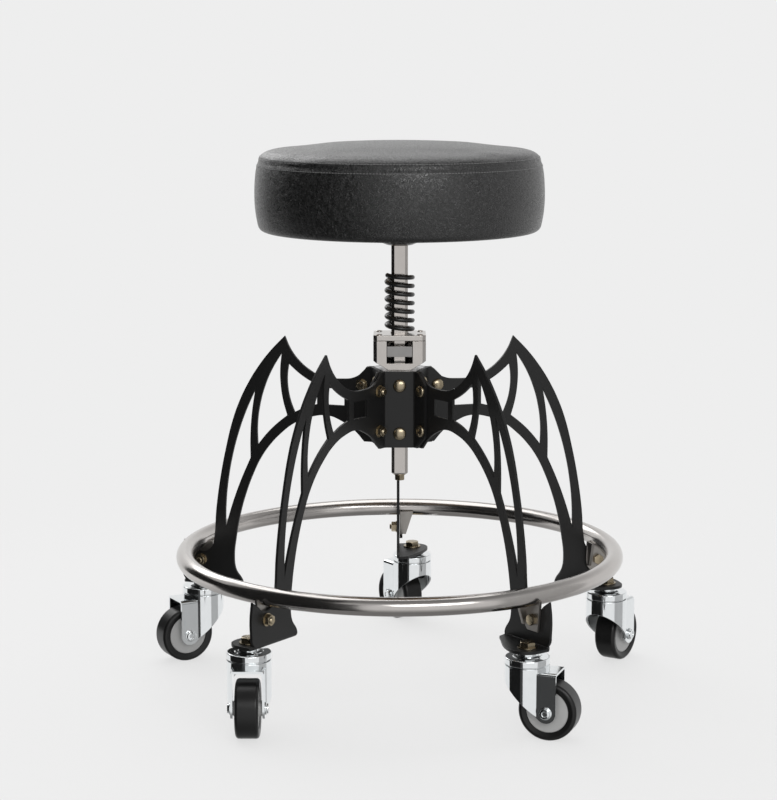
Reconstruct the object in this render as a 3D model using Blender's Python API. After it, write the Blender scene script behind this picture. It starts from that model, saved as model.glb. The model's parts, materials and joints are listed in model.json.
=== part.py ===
"""Work stool: a round seat on a sliding square post, held in a five-legged plate frame on casters.

Units are metres, +Z is up, and the origin is on the floor under the axis of the post.
Each leg is modelled with X running outwards, Y to its left side and Z up from its foot.
"""
import math

import bmesh
import bpy
from mathutils import Matrix, Vector

MM = 0.001

# Fits
CLEAR = 0.3 * MM  # between pieces that touch, or pass through each other
SLIDE_CLEAR = 0.4 * MM  # between the post and its guides
LAP = 2 * MM  # how far a cutting or joining shape runs past the face it meets

# Wheels
WHEEL_R = 37.5 * MM
WHEEL_WIDTH = 31 * MM
TYRE_DEPTH = 10.5 * MM
TREAD_WIDTH = 20 * MM
TYRE_SHOULDER = 4 * MM
RIM_WIDTH = 27 * MM
RIM_T = 3 * MM
WEB_T = 11 * MM
BOSS_R = 11 * MM
AXLE_R = 4 * MM
AXLE_HEAD_R = 8 * MM
AXLE_HEAD_H = 4.5 * MM

# Caster forks and their mounting bolts
TRAIL = 30 * MM
FORK_R = 28.3 * MM
FORK_WALL = 3 * MM
FORK_SIDE_ROOM = 3 * MM
FORK_LOBE_R = 13 * MM
FORK_HEADROOM = 24.7 * MM
FORK_REAR_DROP = 14.5 * MM
SHROUD_FRONT_H = 27 * MM
COLLAR_R = 13.5 * MM
COLLAR_H = 6.5 * MM
KING_R = 6 * MM
KING_HEAD_R = 10.4 * MM
KING_HEAD_H = 6.4 * MM
KING_WASHER_R = 12.5 * MM
KING_WASHER_T = 1.6 * MM
KING_NUT_R = 10.4 * MM
KING_NUT_H = 9 * MM

# Foot ring, its tabs and their bolts
RING_R = 288 * MM
RING_TUBE_R = 12 * MM
RING_RISE = 65.8 * MM  # ring centre above the foot's underside
RING_ROOM = 7 * MM  # between the tube and the leg's notch
TAB_T = 4 * MM
TAB_TOP_W = 29 * MM
TAB_FOOT_W = 20 * MM
TAB_TOP_DROP = 4 * MM  # from the ring's centre down to the tab's top edge
TAB_DROP = 45 * MM
TAB_INSET = 15.5 * MM
TAB_WING_W = 20 * MM
TAB_WING_FOOT_W = 9 * MM
TAB_WING_H = 34 * MM
RING_BOLT_DROP = 30 * MM
RING_BOLT_R = 4 * MM
RING_BOLT_HEAD_R = 7.5 * MM
RING_BOLT_HEAD_H = 5.5 * MM
RING_WASHER_R = 8.5 * MM
RING_WASHER_T = 1.6 * MM
RING_NUT_H = 6.5 * MM

# Leg plates
PLATE_T = 4 * MM
HUB_RISE = 215.5 * MM  # underside of the hub above the foot's underside
HUB_H = 102 * MM
CORE_R = 29.2 * MM  # centre of the hub core to one of its five sides
HUB_CORNER_R = 45 * MM
NECK_R = 110 * MM  # where the leg's neck ends and its wing begins
FLANGE_R = 61 * MM
FLANGE_CUT = 16 * MM
TIP_R = 162 * MM
TIP_RISE = 138.5 * MM  # pointed top of the leg above the hub's underside
FOOT_INSET = 59 * MM  # inner end of the foot from the ring's centre line
FOOT_OUTSET = 28.5 * MM
FOOT_W = 40 * MM
CASTER_OUTSET = 8 * MM
CASTER_SIDE = 18.5 * MM  # caster axis to the right of the leg's middle plane

# Hub core, guides and hub bolts
BUSH_WALL = 3 * MM
BUSH_H = 12 * MM
CORE_BORE_ROOM = 1 * MM
FACE_BOLT_INSET = 19 * MM  # from the hub's ends
FACE_BOLT_R = 4 * MM
FACE_BOLT_HEAD_R = 7.6 * MM
FACE_BOLT_HEAD_H = 4.8 * MM
FACE_BOLT_GRIP = 9.5 * MM

# Lock block, its cap, plate and pin
LOCK_W = 69.5 * MM
LOCK_D = 52 * MM
LOCK_H = 38.9 * MM
LOCK_EDGE = 4.5 * MM
LOCK_SLOPE_W = 21 * MM
LOCK_SLOPE_H = 12 * MM
LOCK_FLOOR = 9.2 * MM
LOCK_REAR_WALL = 5 * MM
WINDOW_W = 34 * MM
CAP_T = 7.3 * MM
PIN_R = 1.8 * MM
PIN_RISE = 28.7 * MM
PIN_INSET = 3 * MM
KNUCKLE_R = 3.5 * MM
LOCK_PLATE_T = 6 * MM
LOCK_TILT = math.radians(4)
LIP_T = 3.5 * MM
LIP_UP = 6.2 * MM
LIP_DOWN = 7.8 * MM

# Post
POST_SIDE = 22 * MM
POST_EDGE = 3.8 * MM
POST_BELOW = 41 * MM  # below the hub
POST_END_CUT = 2 * MM
SPIGOT_R = 9 * MM
END_BOLT_R = 4 * MM
END_BOLT_HEAD_R = 7.2 * MM
END_BOLT_HEAD_H = 8.5 * MM
END_BOLT_GRIP = 20 * MM

# Bump spring
WIRE_R = 3.1 * MM
SPRING_H = 80.4 * MM
SPRING_TURNS = 6.75
SPRING_END_TURNS = 0.4
SPRING_TOP_END = math.radians(200)  # way that the wire's upper end points
SPRING_END_GAP = 0.8 * MM
POINTS_PER_TURN = 10

# Seat
BUMP_TRAVEL = 37 * MM  # from the spring's top to the swivel housing
HOUSING_H = 20 * MM
HOUSING_MOUTH_R = 17 * MM
HOUSING_R = 29 * MM
HOUSING_BELLY_H = 9.6 * MM  # from its mouth up to where it is full width
HOUSING_BOW = -0.13  # of its belly, as a share of the chord
HOUSING_FLANGE_R = 70 * MM
HOUSING_FLANGE_T = 4 * MM
BEARING_WALL = 4.4 * MM
BEARING_H = 13 * MM
BOARD_R = 165 * MM
BOARD_T = 12 * MM
SEAT_R = 190.5 * MM
SEAT_H = 115 * MM
SEAT_CROWN_R = 163 * MM
SEAT_CROWN_H = 9.5 * MM
SEAT_CROWN_BOW = 0.0146
SEAT_SHOULDER_BOW = 0.1365
SEAM_IN = 4 * MM  # how far the seam and the hem are drawn in from the widest ring
SEAM_DROP = 27 * MM
HEM_H = 13 * MM
HEM_IN = 15 * MM
HEM_BOW = 0.176

# Layout of the legs, and the way that each caster trails
SIDES = ("rear", "left", "front_left", "front_right", "right")
FIRST_LEG = math.radians(90)
LEG_STEP = math.tau / len(SIDES)
TRAIL_TURNS = dict(zip(SIDES, (126, 210, 270, 340, 57)))

# Heights that follow from the sizes above
FORK_TOP = 2 * WHEEL_R + FORK_HEADROOM + FORK_WALL
FOOT_Z = FORK_TOP + COLLAR_H + CLEAR
HUB_Z = FOOT_Z + HUB_RISE
HUB_TOP = HUB_Z + HUB_H
LOCK_Z = HUB_TOP + CLEAR
CAP_Z = LOCK_Z + LOCK_H + CLEAR
SPRING_Z = CAP_Z + CAP_T + CLEAR
HOUSING_Z = SPRING_Z + SPRING_H + BUMP_TRAVEL
SEAT_Z = HOUSING_Z + HOUSING_H + CLEAR

# Radii and widths that follow from them
RIM_R = WHEEL_R - TYRE_DEPTH
FORK_GAP = WHEEL_WIDTH + 2 * FORK_SIDE_ROOM
FORK_HALF = FORK_GAP / 2 + FORK_WALL
HUB_R = CORE_R + CLEAR + PLATE_T
HALF_STEP = LEG_STEP / 2
LEG_ROOT_R = (HUB_R - PLATE_T) / math.cos(HALF_STEP)
PLATE_NEAR = CLEAR / 2
PLATE_FAR = PLATE_NEAR + PLATE_T
PLATE_MID = (PLATE_NEAR + PLATE_FAR) / 2
POST_CORNER_R = math.hypot(POST_SIDE / 2, POST_SIDE / 2 - POST_EDGE)
BEARING_R = SPIGOT_R + CLEAR + BEARING_WALL
PIN_Y = LOCK_D / 2 - LOCK_REAR_WALL - CLEAR - KNUCKLE_R

ROUND = 12  # sides of a bolt, and twice those of its hexagon head
AXLE_SIDES = 8
WHEEL_SIDES = 24

FINISHES = {
    "black_powder_coat": ((0.012, 0.012, 0.013), 0.45, 0.0),
    "black_vinyl": ((0.010, 0.010, 0.011), 0.5, 0.0),
    "black_enamel": ((0.010, 0.010, 0.010), 0.25, 0.0),
    "black_rubber": ((0.012, 0.012, 0.012), 0.6, 0.0),
    "grey_nylon": ((0.55, 0.55, 0.53), 0.5, 0.0),
    "satin_steel": ((0.55, 0.53, 0.50), 0.35, 1.0),
    "machined_aluminium": ((0.70, 0.70, 0.70), 0.3, 1.0),
    "polished_steel": ((0.75, 0.75, 0.76), 0.08, 1.0),
    "bright_zinc": ((0.62, 0.63, 0.65), 0.2, 1.0),
    "yellow_zinc": ((0.72, 0.55, 0.24), 0.3, 1.0),
    "dark_steel": ((0.10, 0.10, 0.11), 0.4, 1.0),
    "bronze": ((0.55, 0.38, 0.18), 0.4, 1.0),
    "plywood": ((0.45, 0.32, 0.19), 0.7, 0.0),
}


def finish(name):
    """The named finish as a material, made once."""
    material = bpy.data.materials.get(name)
    if material is None:
        colour, roughness, metallic = FINISHES[name]
        material = bpy.data.materials.new(name)
        material.use_nodes = True
        shader = material.node_tree.nodes["Principled BSDF"]
        shader.inputs["Base Color"].default_value = (*colour, 1)
        shader.inputs["Roughness"].default_value = roughness
        shader.inputs["Metallic"].default_value = metallic
    return material


def between(low, high, share):
    return low + share * (high - low)


def arc(start, end, bow, steps):
    """Points after start, up to end, on an arc to the left of the chord; bow is a share of its length."""
    start, end = Vector(start), Vector(end)
    chord = end - start
    half = chord.length / 2
    rise = bow * chord.length
    radius = (half * half + rise * rise) / (2 * rise)
    left = Vector((-chord.y, chord.x)).normalized()
    centre = (start + end) / 2 + left * (rise - radius)
    sweep = -4 * math.atan(rise / half)
    points = []
    for step in range(1, steps + 1):
        spoke = start - centre
        spoke.rotate(Matrix.Rotation(sweep * step / steps, 2))
        points.append(tuple(centre + spoke))
    return points


def closed_path(*stretches):
    """Outline through corners, or (corner, bow, steps) where an arc leads to that corner."""
    outline = [stretches[0]]
    for stretch in stretches[1:]:
        if len(stretch) == 2:
            outline.append(stretch)
        else:
            corner, bow, steps = stretch
            outline += arc(outline[-1], corner, bow, steps)
    return outline


def box_outline(half_x, half_y, cut=0.0):
    """Rectangle round the origin with its corners cut off."""
    if cut == 0:
        return [(half_x, half_y), (-half_x, half_y), (-half_x, -half_y), (half_x, -half_y)]
    outline = []
    for sx, sy in ((1, 1), (-1, 1), (-1, -1), (1, -1)):
        pair = [(sx * half_x, sy * (half_y - cut)), (sx * (half_x - cut), sy * half_y)]
        outline += pair if sx == sy else pair[::-1]
    return outline


def to_mesh(bm):
    bmesh.ops.recalc_face_normals(bm, faces=bm.faces)
    mesh = bpy.data.meshes.new("shape")
    bm.to_mesh(mesh)
    bm.free()
    return mesh


def loft(sections):
    """Closed solid through rings of points that have equal counts."""
    bm = bmesh.new()
    rings = [[bm.verts.new(point) for point in section] for section in sections]
    bm.faces.new(rings[0])
    bm.faces.new(rings[-1])
    for low, high in zip(rings, rings[1:]):
        for i in range(len(low)):
            bm.faces.new((low[i - 1], low[i], high[i], high[i - 1]))
    return to_mesh(bm)


def prism(outline, low, high, across="z"):
    """Solid of an outline, pushed from low to high along z, or along y or x for an upright outline."""
    spots = {
        "z": lambda a, b, depth: (a, b, depth),
        "y": lambda a, b, depth: (a, depth, b),
        "x": lambda a, b, depth: (depth, a, b),
    }
    return loft([[spots[across](a, b, depth) for a, b in outline] for depth in (low, high)])


def turned(profile, sides, ring=False, half_step=False):
    """Solid turned about Z from (radius, height) points; a third value makes that ring a hexagon."""
    bm = bmesh.new()
    step = math.tau / sides
    start = step / 2 if half_step else 0.0
    rings = []
    for radius, height, *hexagon in profile:
        count = sides if radius > 0 else 1
        points = []
        for i in range(count):
            reach = radius * math.cos(math.pi / 6) if hexagon and i % 2 else radius
            angle = start + i * step
            points.append(bm.verts.new((reach * math.cos(angle), reach * math.sin(angle), height)))
        rings.append(points)
    pairs = list(zip(rings, rings[1:]))
    if ring:
        pairs.append((rings[-1], rings[0]))
    for one, two in pairs:
        for i in range(sides):
            k = (i + 1) % sides
            corners = [one[i % len(one)], one[k % len(one)], two[k % len(two)], two[i % len(two)]]
            bm.faces.new(list(dict.fromkeys(corners)))
    return to_mesh(bm)


def hole_r(radius, sides):
    """Corner radius of a hole whose flats clear a shank."""
    return (radius + CLEAR) / math.cos(math.pi / sides)


def drill(radius, low, high, sides=ROUND):
    reach = hole_r(radius, sides)
    return turned([(0, low), (reach, low), (reach, high), (0, high)], sides)


def dome(radius, seat, height):
    """Profile of a round head, from its rim on the seat to its crown."""
    shares = ((1, 0), (0.93, 0.4), (0.62, 0.84), (0, 1))
    return [(radius * out, seat + height * up) for out, up in shares]


def moved(mesh, *steps):
    """The same mesh after the given matrices, first to last."""
    for step in steps:
        mesh.transform(step)
    return mesh


def shift(x=0.0, y=0.0, z=0.0):
    return Matrix.Translation((x, y, z))


def turn(angle, axis="Z"):
    return Matrix.Rotation(angle, 4, axis)


TO_X = turn(math.radians(90), "Y")
TO_Y = turn(math.radians(-90), "X")


def combine(body, adds=(), cuts=(), keeps=()):
    """A new mesh: body joined with adds, less cuts, kept only inside keeps."""
    holder = bpy.data.objects.new("holder", body)
    helpers = [holder]
    for operation, meshes in (("UNION", adds), ("DIFFERENCE", cuts), ("INTERSECT", keeps)):
        for mesh in meshes:
            helper = bpy.data.objects.new("helper", mesh)
            helpers.append(helper)
            step = holder.modifiers.new(operation, "BOOLEAN")
            step.operation = operation
            step.object = helper
    for helper in helpers:
        bpy.context.collection.objects.link(helper)
    graph = bpy.context.evaluated_depsgraph_get()
    result = bpy.data.meshes.new_from_object(holder.evaluated_get(graph))
    for helper in helpers:
        bpy.data.objects.remove(helper)
    return result


def joined(meshes):
    """One mesh that holds several separate bodies."""
    bm = bmesh.new()
    for mesh in meshes:
        bm.from_mesh(mesh)
    return to_mesh(bm)


def pivot(name, place, turned_by=0.0, parent=None):
    """Empty on a joint's axis that carries the pieces which move with it."""
    empty = bpy.data.objects.new(name, None)
    bpy.context.collection.objects.link(empty)
    empty.location = place
    empty.rotation_euler.z = turned_by
    empty.parent = parent
    return empty


def put(name, shape, coat, parent=None, place=(0, 0, 0), rotation=(0, 0, 0)):
    """Named object of a mesh or curve in its finish."""
    if isinstance(shape, bpy.types.Mesh):
        shape.shade_smooth()
        shape.set_sharp_from_angle(angle=math.radians(30))
    shape.name = name
    shape.materials.clear()
    shape.materials.append(finish(coat))
    piece = bpy.data.objects.new(name, shape)
    bpy.context.collection.objects.link(piece)
    piece.parent = parent
    piece.location = place
    piece.rotation_euler = rotation
    return piece


def neck(out, up):
    """Point of a leg's side, by shares: from the hub's corner to the neck's end, and up the hub."""
    return between(HUB_CORNER_R, NECK_R, out), HUB_RISE + up * HUB_H


def wing(out, up):
    """Point by shares: from the neck's end to the tip, and from the hub's underside up to the tip."""
    return between(NECK_R, TIP_R, out), HUB_RISE + up * TIP_RISE


def trunk(out, up):
    """Point by shares: from the tip out to the ring, and from the foot up to the hub's underside."""
    return between(TIP_R, RING_R, out), up * HUB_RISE


def shoe(out, up):
    """Point by shares: from the foot's heel to its toe, and from its underside up to the ring."""
    return between(RING_R - FOOT_INSET, RING_R + FOOT_OUTSET, out), up * RING_RISE


def leg_outline():
    """Side of a leg as (out, up), clockwise from the top of the hub."""
    notch_r = RING_TUBE_R + RING_ROOM
    notch = []
    for degrees in range(180, 326, 29):
        angle = math.radians(degrees)
        notch.append((RING_R + notch_r * math.cos(angle), RING_RISE + notch_r * math.sin(angle)))
    return closed_path(
        (LEG_ROOT_R, HUB_RISE + HUB_H),
        neck(0, 1),
        (neck(0.508, 0.8235), -0.133, 3),
        neck(1, 0.843),
        (wing(1, 1), -0.1173, 4),
        (trunk(0.6095, 1.0928), 0.065, 5),
        (notch[0], 0.028, 4),
        *notch[1:],
        shoe(0.9714, 0.947),
        (shoe(1, 0.304), 0.0425, 2),
        (shoe(0.92, 0.0304), 0.1295, 2),
        shoe(0, 0.0304),
        (shoe(-0.0114, 0.1672), 0.2209, 2),
        (shoe(0.1177, 0.608), -0.1115, 2),
        (trunk(0.3762, 0.7545), -0.0447, 4),
        (wing(0.769, 0.1372), -0.075, 4),
        (neck(0.846, 0.3186), -0.0695, 2),
        (neck(0.0615, 0), -0.091, 3),
        (LEG_ROOT_R, HUB_RISE),
    )


def leg_windows():
    """Outlines of the four openings in a leg plate, from the neck outwards."""
    first = [neck(0.4923, 0.4657), neck(0.9385, 0.4657), neck(0.9385, 0.6863), neck(0.4923, 0.6863)]
    inner = closed_path(
        wing(0.1154, 0.5343),
        (wing(0.8942, 0.7293), -0.045, 3),
        (wing(0.7404, 0.2527), 0.0827, 4),
        (wing(0.1154, 0.343), -0.0431, 2),
    )
    middle_apex = wing(1.0865, 0.8303)
    middle = closed_path(
        middle_apex,
        (wing(0.946, 0.2166), 0.0643, 4),
        (trunk(0.3214, 0.9397), 0.039, 3),
        (middle_apex, -0.0902, 5),
    )[:-1]
    outer_apex = trunk(0.3452, 1.2923)
    outer = closed_path(
        outer_apex,
        (trunk(0.4079, 0.852), 0.0287, 3),
        (trunk(0.7111, 0.3852), 0.0235, 3),
        (outer_apex, -0.062, 6),
    )[:-1]
    return first, inner, middle, outer


def face_bolt_heights():
    return FACE_BOLT_INSET, HUB_H - FACE_BOLT_INSET


def hub_face():
    """The part of a leg plate that is bent across one side of the hub."""
    way = Vector((math.cos(HALF_STEP), math.sin(HALF_STEP)))
    near = []
    for reach in (HUB_R - PLATE_T, HUB_R):
        near.append(Vector(((reach - PLATE_MID * way.y) / way.x, PLATE_MID)))
    far = [2 * way.dot(point) * way - point for point in reversed(near)]
    return prism([tuple(point) for point in near + far], HUB_RISE, HUB_RISE + HUB_H)


def hub_flange():
    """The end of a leg plate that is bent out again, against the right side of the next leg."""
    outline = [
        (LEG_ROOT_R, HUB_RISE),
        (FLANGE_R - FLANGE_CUT, HUB_RISE),
        (FLANGE_R, HUB_RISE + FLANGE_CUT),
        (FLANGE_R, HUB_RISE + HUB_H - FLANGE_CUT),
        (FLANGE_R - FLANGE_CUT, HUB_RISE + HUB_H),
        (LEG_ROOT_R, HUB_RISE + HUB_H),
    ]
    return moved(prism(outline, -PLATE_FAR, -PLATE_NEAR, "y"), turn(LEG_STEP))


def foot_flange():
    """The foot that is bent to the right under the leg, with a pointed heel and a slanted edge."""
    def spot(out, side):
        return shoe(out, 0)[0], -side * FOOT_W

    outline = closed_path(
        (shoe(0, 0)[0], PLATE_MID),
        spot(0.0457, 0.325),
        spot(0.623, 1),
        spot(0.84, 1),
        (spot(1, 0.5), -0.164, 3),
        (shoe(1, 0)[0], PLATE_MID),
    )
    return prism(outline, 0, PLATE_T)


def leg_mesh():
    plate = prism(leg_outline(), PLATE_NEAR, PLATE_FAR, "y")
    windows = [prism(window, -LAP, PLATE_FAR + LAP, "y") for window in leg_windows()]
    face_holes = []
    for height in face_bolt_heights():
        hole = drill(FACE_BOLT_R, CORE_R - LAP, HUB_R + LAP)
        face_holes.append(moved(hole, TO_X, turn(HALF_STEP), shift(z=HUB_RISE + height)))
    ring_hole = moved(drill(RING_BOLT_R, -LAP, PLATE_FAR + LAP), TO_Y,
                      shift(x=RING_R, z=RING_RISE - RING_BOLT_DROP))
    king_hole = moved(drill(KING_R, -LAP, PLATE_T + LAP),
                      shift(x=RING_R + CASTER_OUTSET, y=-CASTER_SIDE))
    cutters = joined([*windows, *face_holes, ring_hole, king_hole])
    return combine(plate, adds=[hub_face(), hub_flange(), foot_flange()], cuts=[cutters])


def build_legs(base):
    mesh = leg_mesh()
    for i, side in enumerate(SIDES):
        turned_by = (0, 0, FIRST_LEG + i * LEG_STEP)
        put(f"leg_{side}", mesh, "black_powder_coat", base, (0, 0, FOOT_Z), turned_by)


def tab_mesh():
    """Angle tab under the ring: one leaf on the leg's right side, one wing across it."""
    in_edge = RING_R - TAB_INSET
    top = RING_RISE - TAB_TOP_DROP
    taper = (TAB_TOP_W - TAB_FOOT_W) / 2
    leaf = prism([
        (in_edge, top),
        (in_edge, top - TAB_WING_H),
        (in_edge + taper, RING_RISE - TAB_DROP),
        (in_edge + taper + TAB_FOOT_W, RING_RISE - TAB_DROP),
        (in_edge + TAB_TOP_W, top),
    ], -PLATE_NEAR - TAB_T, -PLATE_NEAR, "y")
    root = -PLATE_NEAR - TAB_T / 2
    wing = prism([
        (root, top - CLEAR),
        (-PLATE_NEAR - TAB_WING_W, top - CLEAR),
        (-PLATE_NEAR - TAB_WING_FOOT_W, top - TAB_WING_H + CLEAR),
        (root, top - TAB_WING_H + CLEAR),
    ], in_edge + CLEAR, in_edge + TAB_T, "x")
    hole = moved(drill(RING_BOLT_R, -TAB_T - LAP, LAP), TO_Y,
                 shift(x=RING_R, z=RING_RISE - RING_BOLT_DROP))
    return combine(leaf, adds=[wing], cuts=[hole])


def build_foot_ring(base):
    tube_sides, ring_steps = 8, 40
    profile = []
    for i in range(tube_sides):
        angle = math.tau * i / tube_sides
        out, up = RING_TUBE_R * math.cos(angle), RING_TUBE_R * math.sin(angle)
        profile.append((RING_R + out, RING_RISE + up))
    tube = turned(profile, ring_steps, ring=True)
    tab = tab_mesh()
    tabs = joined([moved(tab.copy(), turn(FIRST_LEG + i * LEG_STEP)) for i in range(len(SIDES))])
    put("foot_ring", combine(tube, adds=[tabs]), "polished_steel", base, (0, 0, FOOT_Z))


def build_ring_bolts(base):
    """Bolt head on the tab, washer and nut on the leg's left side, all drawn up tight."""
    head = -PLATE_NEAR - TAB_T - CLEAR
    seat = PLATE_FAR + CLEAR
    nut = seat + RING_WASHER_T
    end = nut + RING_NUT_H
    mesh = moved(turned([
        (0, head - RING_BOLT_HEAD_H),
        (RING_BOLT_HEAD_R, head - RING_BOLT_HEAD_H, True),
        (RING_BOLT_HEAD_R, head, True),
        (RING_BOLT_R, head),
        (RING_BOLT_R, seat),
        (RING_WASHER_R, seat),
        (RING_WASHER_R, nut),
        (RING_BOLT_HEAD_R, nut, True),
        (RING_BOLT_HEAD_R, end, True),
        (0, end),
    ], ROUND), TO_Y, shift(x=RING_R, z=RING_RISE - RING_BOLT_DROP))
    for i, side in enumerate(SIDES):
        turned_by = (0, 0, FIRST_LEG + i * LEG_STEP)
        put(f"ring_bolt_{side}", mesh, "yellow_zinc", base, (0, 0, FOOT_Z), turned_by)


def caster_place(i):
    """Swivel axis of a caster, on the floor."""
    spot = Vector((RING_R + CASTER_OUTSET, -CASTER_SIDE, 0))
    spot.rotate(turn(FIRST_LEG + i * LEG_STEP))
    return spot


def king_bolt_mesh():
    """Bolt that holds a caster: head and washer on the foot, nut under the fork's crown."""
    under = FORK_TOP - FORK_WALL - CLEAR
    seat = FOOT_Z + PLATE_T + CLEAR
    head = seat + KING_WASHER_T
    return turned([
        (0, under - KING_NUT_H),
        (KING_NUT_R, under - KING_NUT_H, True),
        (KING_NUT_R, under, True),
        (KING_R, under),
        (KING_R, seat),
        (KING_WASHER_R, seat),
        (KING_WASHER_R, head),
        (KING_HEAD_R, head, True),
        (KING_HEAD_R, head + KING_HEAD_H, True),
        (0, head + KING_HEAD_H),
    ], ROUND)


def fork_mesh():
    """Pressed fork: round shroud in front, a channel behind with a lobe round the axle on each side."""
    sides = 16
    middle_r = FORK_R - FORK_WALL / 2
    crease = math.sqrt(middle_r ** 2 - (FORK_HALF - FORK_WALL / 2) ** 2)
    back = TRAIL + FORK_LOBE_R
    inner_r = FORK_R - FORK_WALL
    roof = FORK_TOP - FORK_WALL
    rear_top = FORK_TOP - FORK_REAR_DROP
    shroud = turned([(0, 0), (FORK_R, 0), (FORK_R, FORK_TOP), (0, FORK_TOP)], sides)
    channel = moved(prism(box_outline((back + LAP - crease) / 2, FORK_HALF), LAP, rear_top),
                    shift(x=(back + LAP + crease) / 2))
    collar_foot, collar_top = FORK_TOP - FORK_WALL / 2, FORK_TOP + COLLAR_H
    collar = turned([
        (0, collar_foot), (COLLAR_R, collar_foot), (COLLAR_R, collar_top), (0, collar_top),
    ], sides)
    hollow = turned([(0, -LAP), (inner_r, -LAP), (inner_r, roof), (0, roof)], sides)
    gap = moved(prism(box_outline(back / 2, FORK_GAP / 2), -2 * LAP, rear_top - FORK_WALL),
                shift(x=crease / 2 + back / 2))
    king_hole = drill(KING_R, roof - LAP, collar_top + LAP)
    axle_hole = moved(drill(AXLE_R, -FORK_R - LAP, FORK_R + LAP, AXLE_SIDES), TO_Y,
                      shift(x=TRAIL, z=WHEEL_R))
    side = [(-FORK_R - LAP, FOOT_Z), (-FORK_R - LAP, FORK_TOP - SHROUD_FRONT_H)]
    for degrees in range(225, 361, 27):
        angle = math.radians(degrees)
        side.append((TRAIL + FORK_LOBE_R * math.cos(angle), WHEEL_R + FORK_LOBE_R * math.sin(angle)))
    side.append((back, FOOT_Z))
    kept = prism(side, -FORK_R - LAP, FORK_R + LAP, "y")
    outside = combine(shroud, adds=[channel, collar], keeps=[kept])
    inside = combine(hollow, adds=[gap, king_hole])
    return combine(outside, cuts=[inside, axle_hole])


def axle_mesh():
    """Axle with a low domed head at each side of the fork."""
    seat = FORK_HALF + CLEAR
    upper = [(AXLE_R, seat), *dome(AXLE_HEAD_R, seat, AXLE_HEAD_H)]
    lower = [(radius, -height) for radius, height in reversed(upper)]
    return moved(turned([*lower, *upper], AXLE_SIDES), TO_Y)


def tyre_mesh():
    """Tyre whose flats, not corners, stand at the wheel's radius, so one flat lies on the floor."""
    flat = 1 / math.cos(math.pi / WHEEL_SIDES)
    outer = WHEEL_R * flat
    inner = (RIM_R + CLEAR) * flat
    half = WHEEL_WIDTH / 2
    profile = [
        (inner, -RIM_WIDTH / 2), (outer - TYRE_SHOULDER, -half), (outer, -TREAD_WIDTH / 2),
        (outer, TREAD_WIDTH / 2), (outer - TYRE_SHOULDER, half), (inner, RIM_WIDTH / 2),
    ]
    return moved(turned(profile, WHEEL_SIDES, ring=True, half_step=True), TO_Y)


def core_mesh():
    sides = WHEEL_SIDES // 2
    boss = FORK_GAP / 2 - CLEAR
    rim_in = RIM_R - RIM_T
    half = [
        (hole_r(AXLE_R, sides), boss), (BOSS_R, boss), (BOSS_R, WEB_T / 2),
        (rim_in, WEB_T / 2), (rim_in, RIM_WIDTH / 2), (RIM_R, RIM_WIDTH / 2),
    ]
    profile = half + [(radius, -height) for radius, height in reversed(half)]
    return moved(turned(profile, sides, ring=True), TO_Y)


def build_casters(base):
    king, fork, axle = king_bolt_mesh(), fork_mesh(), axle_mesh()
    tyre, core = tyre_mesh(), core_mesh()
    for i, side in enumerate(SIDES):
        place = caster_place(i)
        put(f"caster_bolt_{side}", king, "yellow_zinc", base, place)
        swivel = pivot(f"caster_axis_{side}", place, math.radians(TRAIL_TURNS[side]), base)
        put(f"fork_{side}", fork, "bright_zinc", swivel)
        wheel = pivot(f"wheel_axis_{side}", (TRAIL, 0, WHEEL_R), parent=swivel)
        put(f"axle_{side}", axle, "bright_zinc", swivel, (TRAIL, 0, WHEEL_R))
        put(f"tyre_{side}", tyre, "black_rubber", wheel)
        put(f"wheel_core_{side}", core, "grey_nylon", wheel)


def post_outline(room=0.0):
    return box_outline(POST_SIDE / 2 + room, POST_SIDE / 2 + room, POST_EDGE)


def square_bar(room, low, high):
    """Square bar round the post, larger than it by room on each side."""
    half = POST_SIDE / 2 + room
    return prism(box_outline(half, half), low, high)


def build_hub(base):
    corners = []
    for i in range(len(SIDES)):
        angle = FIRST_LEG + i * LEG_STEP
        reach = CORE_R / math.cos(HALF_STEP)
        corners.append((reach * math.cos(angle), reach * math.sin(angle)))
    bush_room = SLIDE_CLEAR + BUSH_WALL
    pocket = BUSH_H + CLEAR
    bore = square_bar(CORE_BORE_ROOM, -LAP, HUB_H + LAP)
    pockets = []
    for low, high in ((-LAP, pocket), (HUB_H - pocket, HUB_H + LAP)):
        pockets.append(square_bar(bush_room + CLEAR, low, high))
    screw_holes = []
    bolt = face_bolt_mesh()
    for i, side in enumerate(SIDES):
        angle = FIRST_LEG + HALF_STEP + i * LEG_STEP
        for height, level in zip(face_bolt_heights(), ("lower", "upper")):
            hole = drill(FACE_BOLT_R, CORE_R - FACE_BOLT_GRIP - CLEAR, CORE_R + LAP)
            screw_holes.append(moved(hole, TO_X, turn(angle), shift(z=height)))
            place = (0, 0, HUB_Z + height)
            put(f"hub_bolt_{side}_{level}", bolt, "yellow_zinc", base, place, (0, 0, angle))
    core = combine(prism(corners, 0, HUB_H), cuts=[bore, *pockets, joined(screw_holes)])
    put("hub_core", core, "machined_aluminium", base, (0, 0, HUB_Z))
    bush = combine(square_bar(bush_room, 0, BUSH_H), cuts=[square_bar(SLIDE_CLEAR, -LAP, BUSH_H + LAP)])
    put("guide_bush_lower", bush, "bronze", base, (0, 0, HUB_Z))
    put("guide_bush_upper", bush, "bronze", base, (0, 0, HUB_TOP - BUSH_H))


def face_bolt_mesh():
    """Round-head bolt along X: head on the hub face, shank into the core."""
    seat = HUB_R + CLEAR
    return moved(turned([
        (0, CORE_R - FACE_BOLT_GRIP),
        (FACE_BOLT_R, CORE_R - FACE_BOLT_GRIP),
        (FACE_BOLT_R, seat),
        *dome(FACE_BOLT_HEAD_R, seat, FACE_BOLT_HEAD_H),
    ], ROUND), TO_X)


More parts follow.
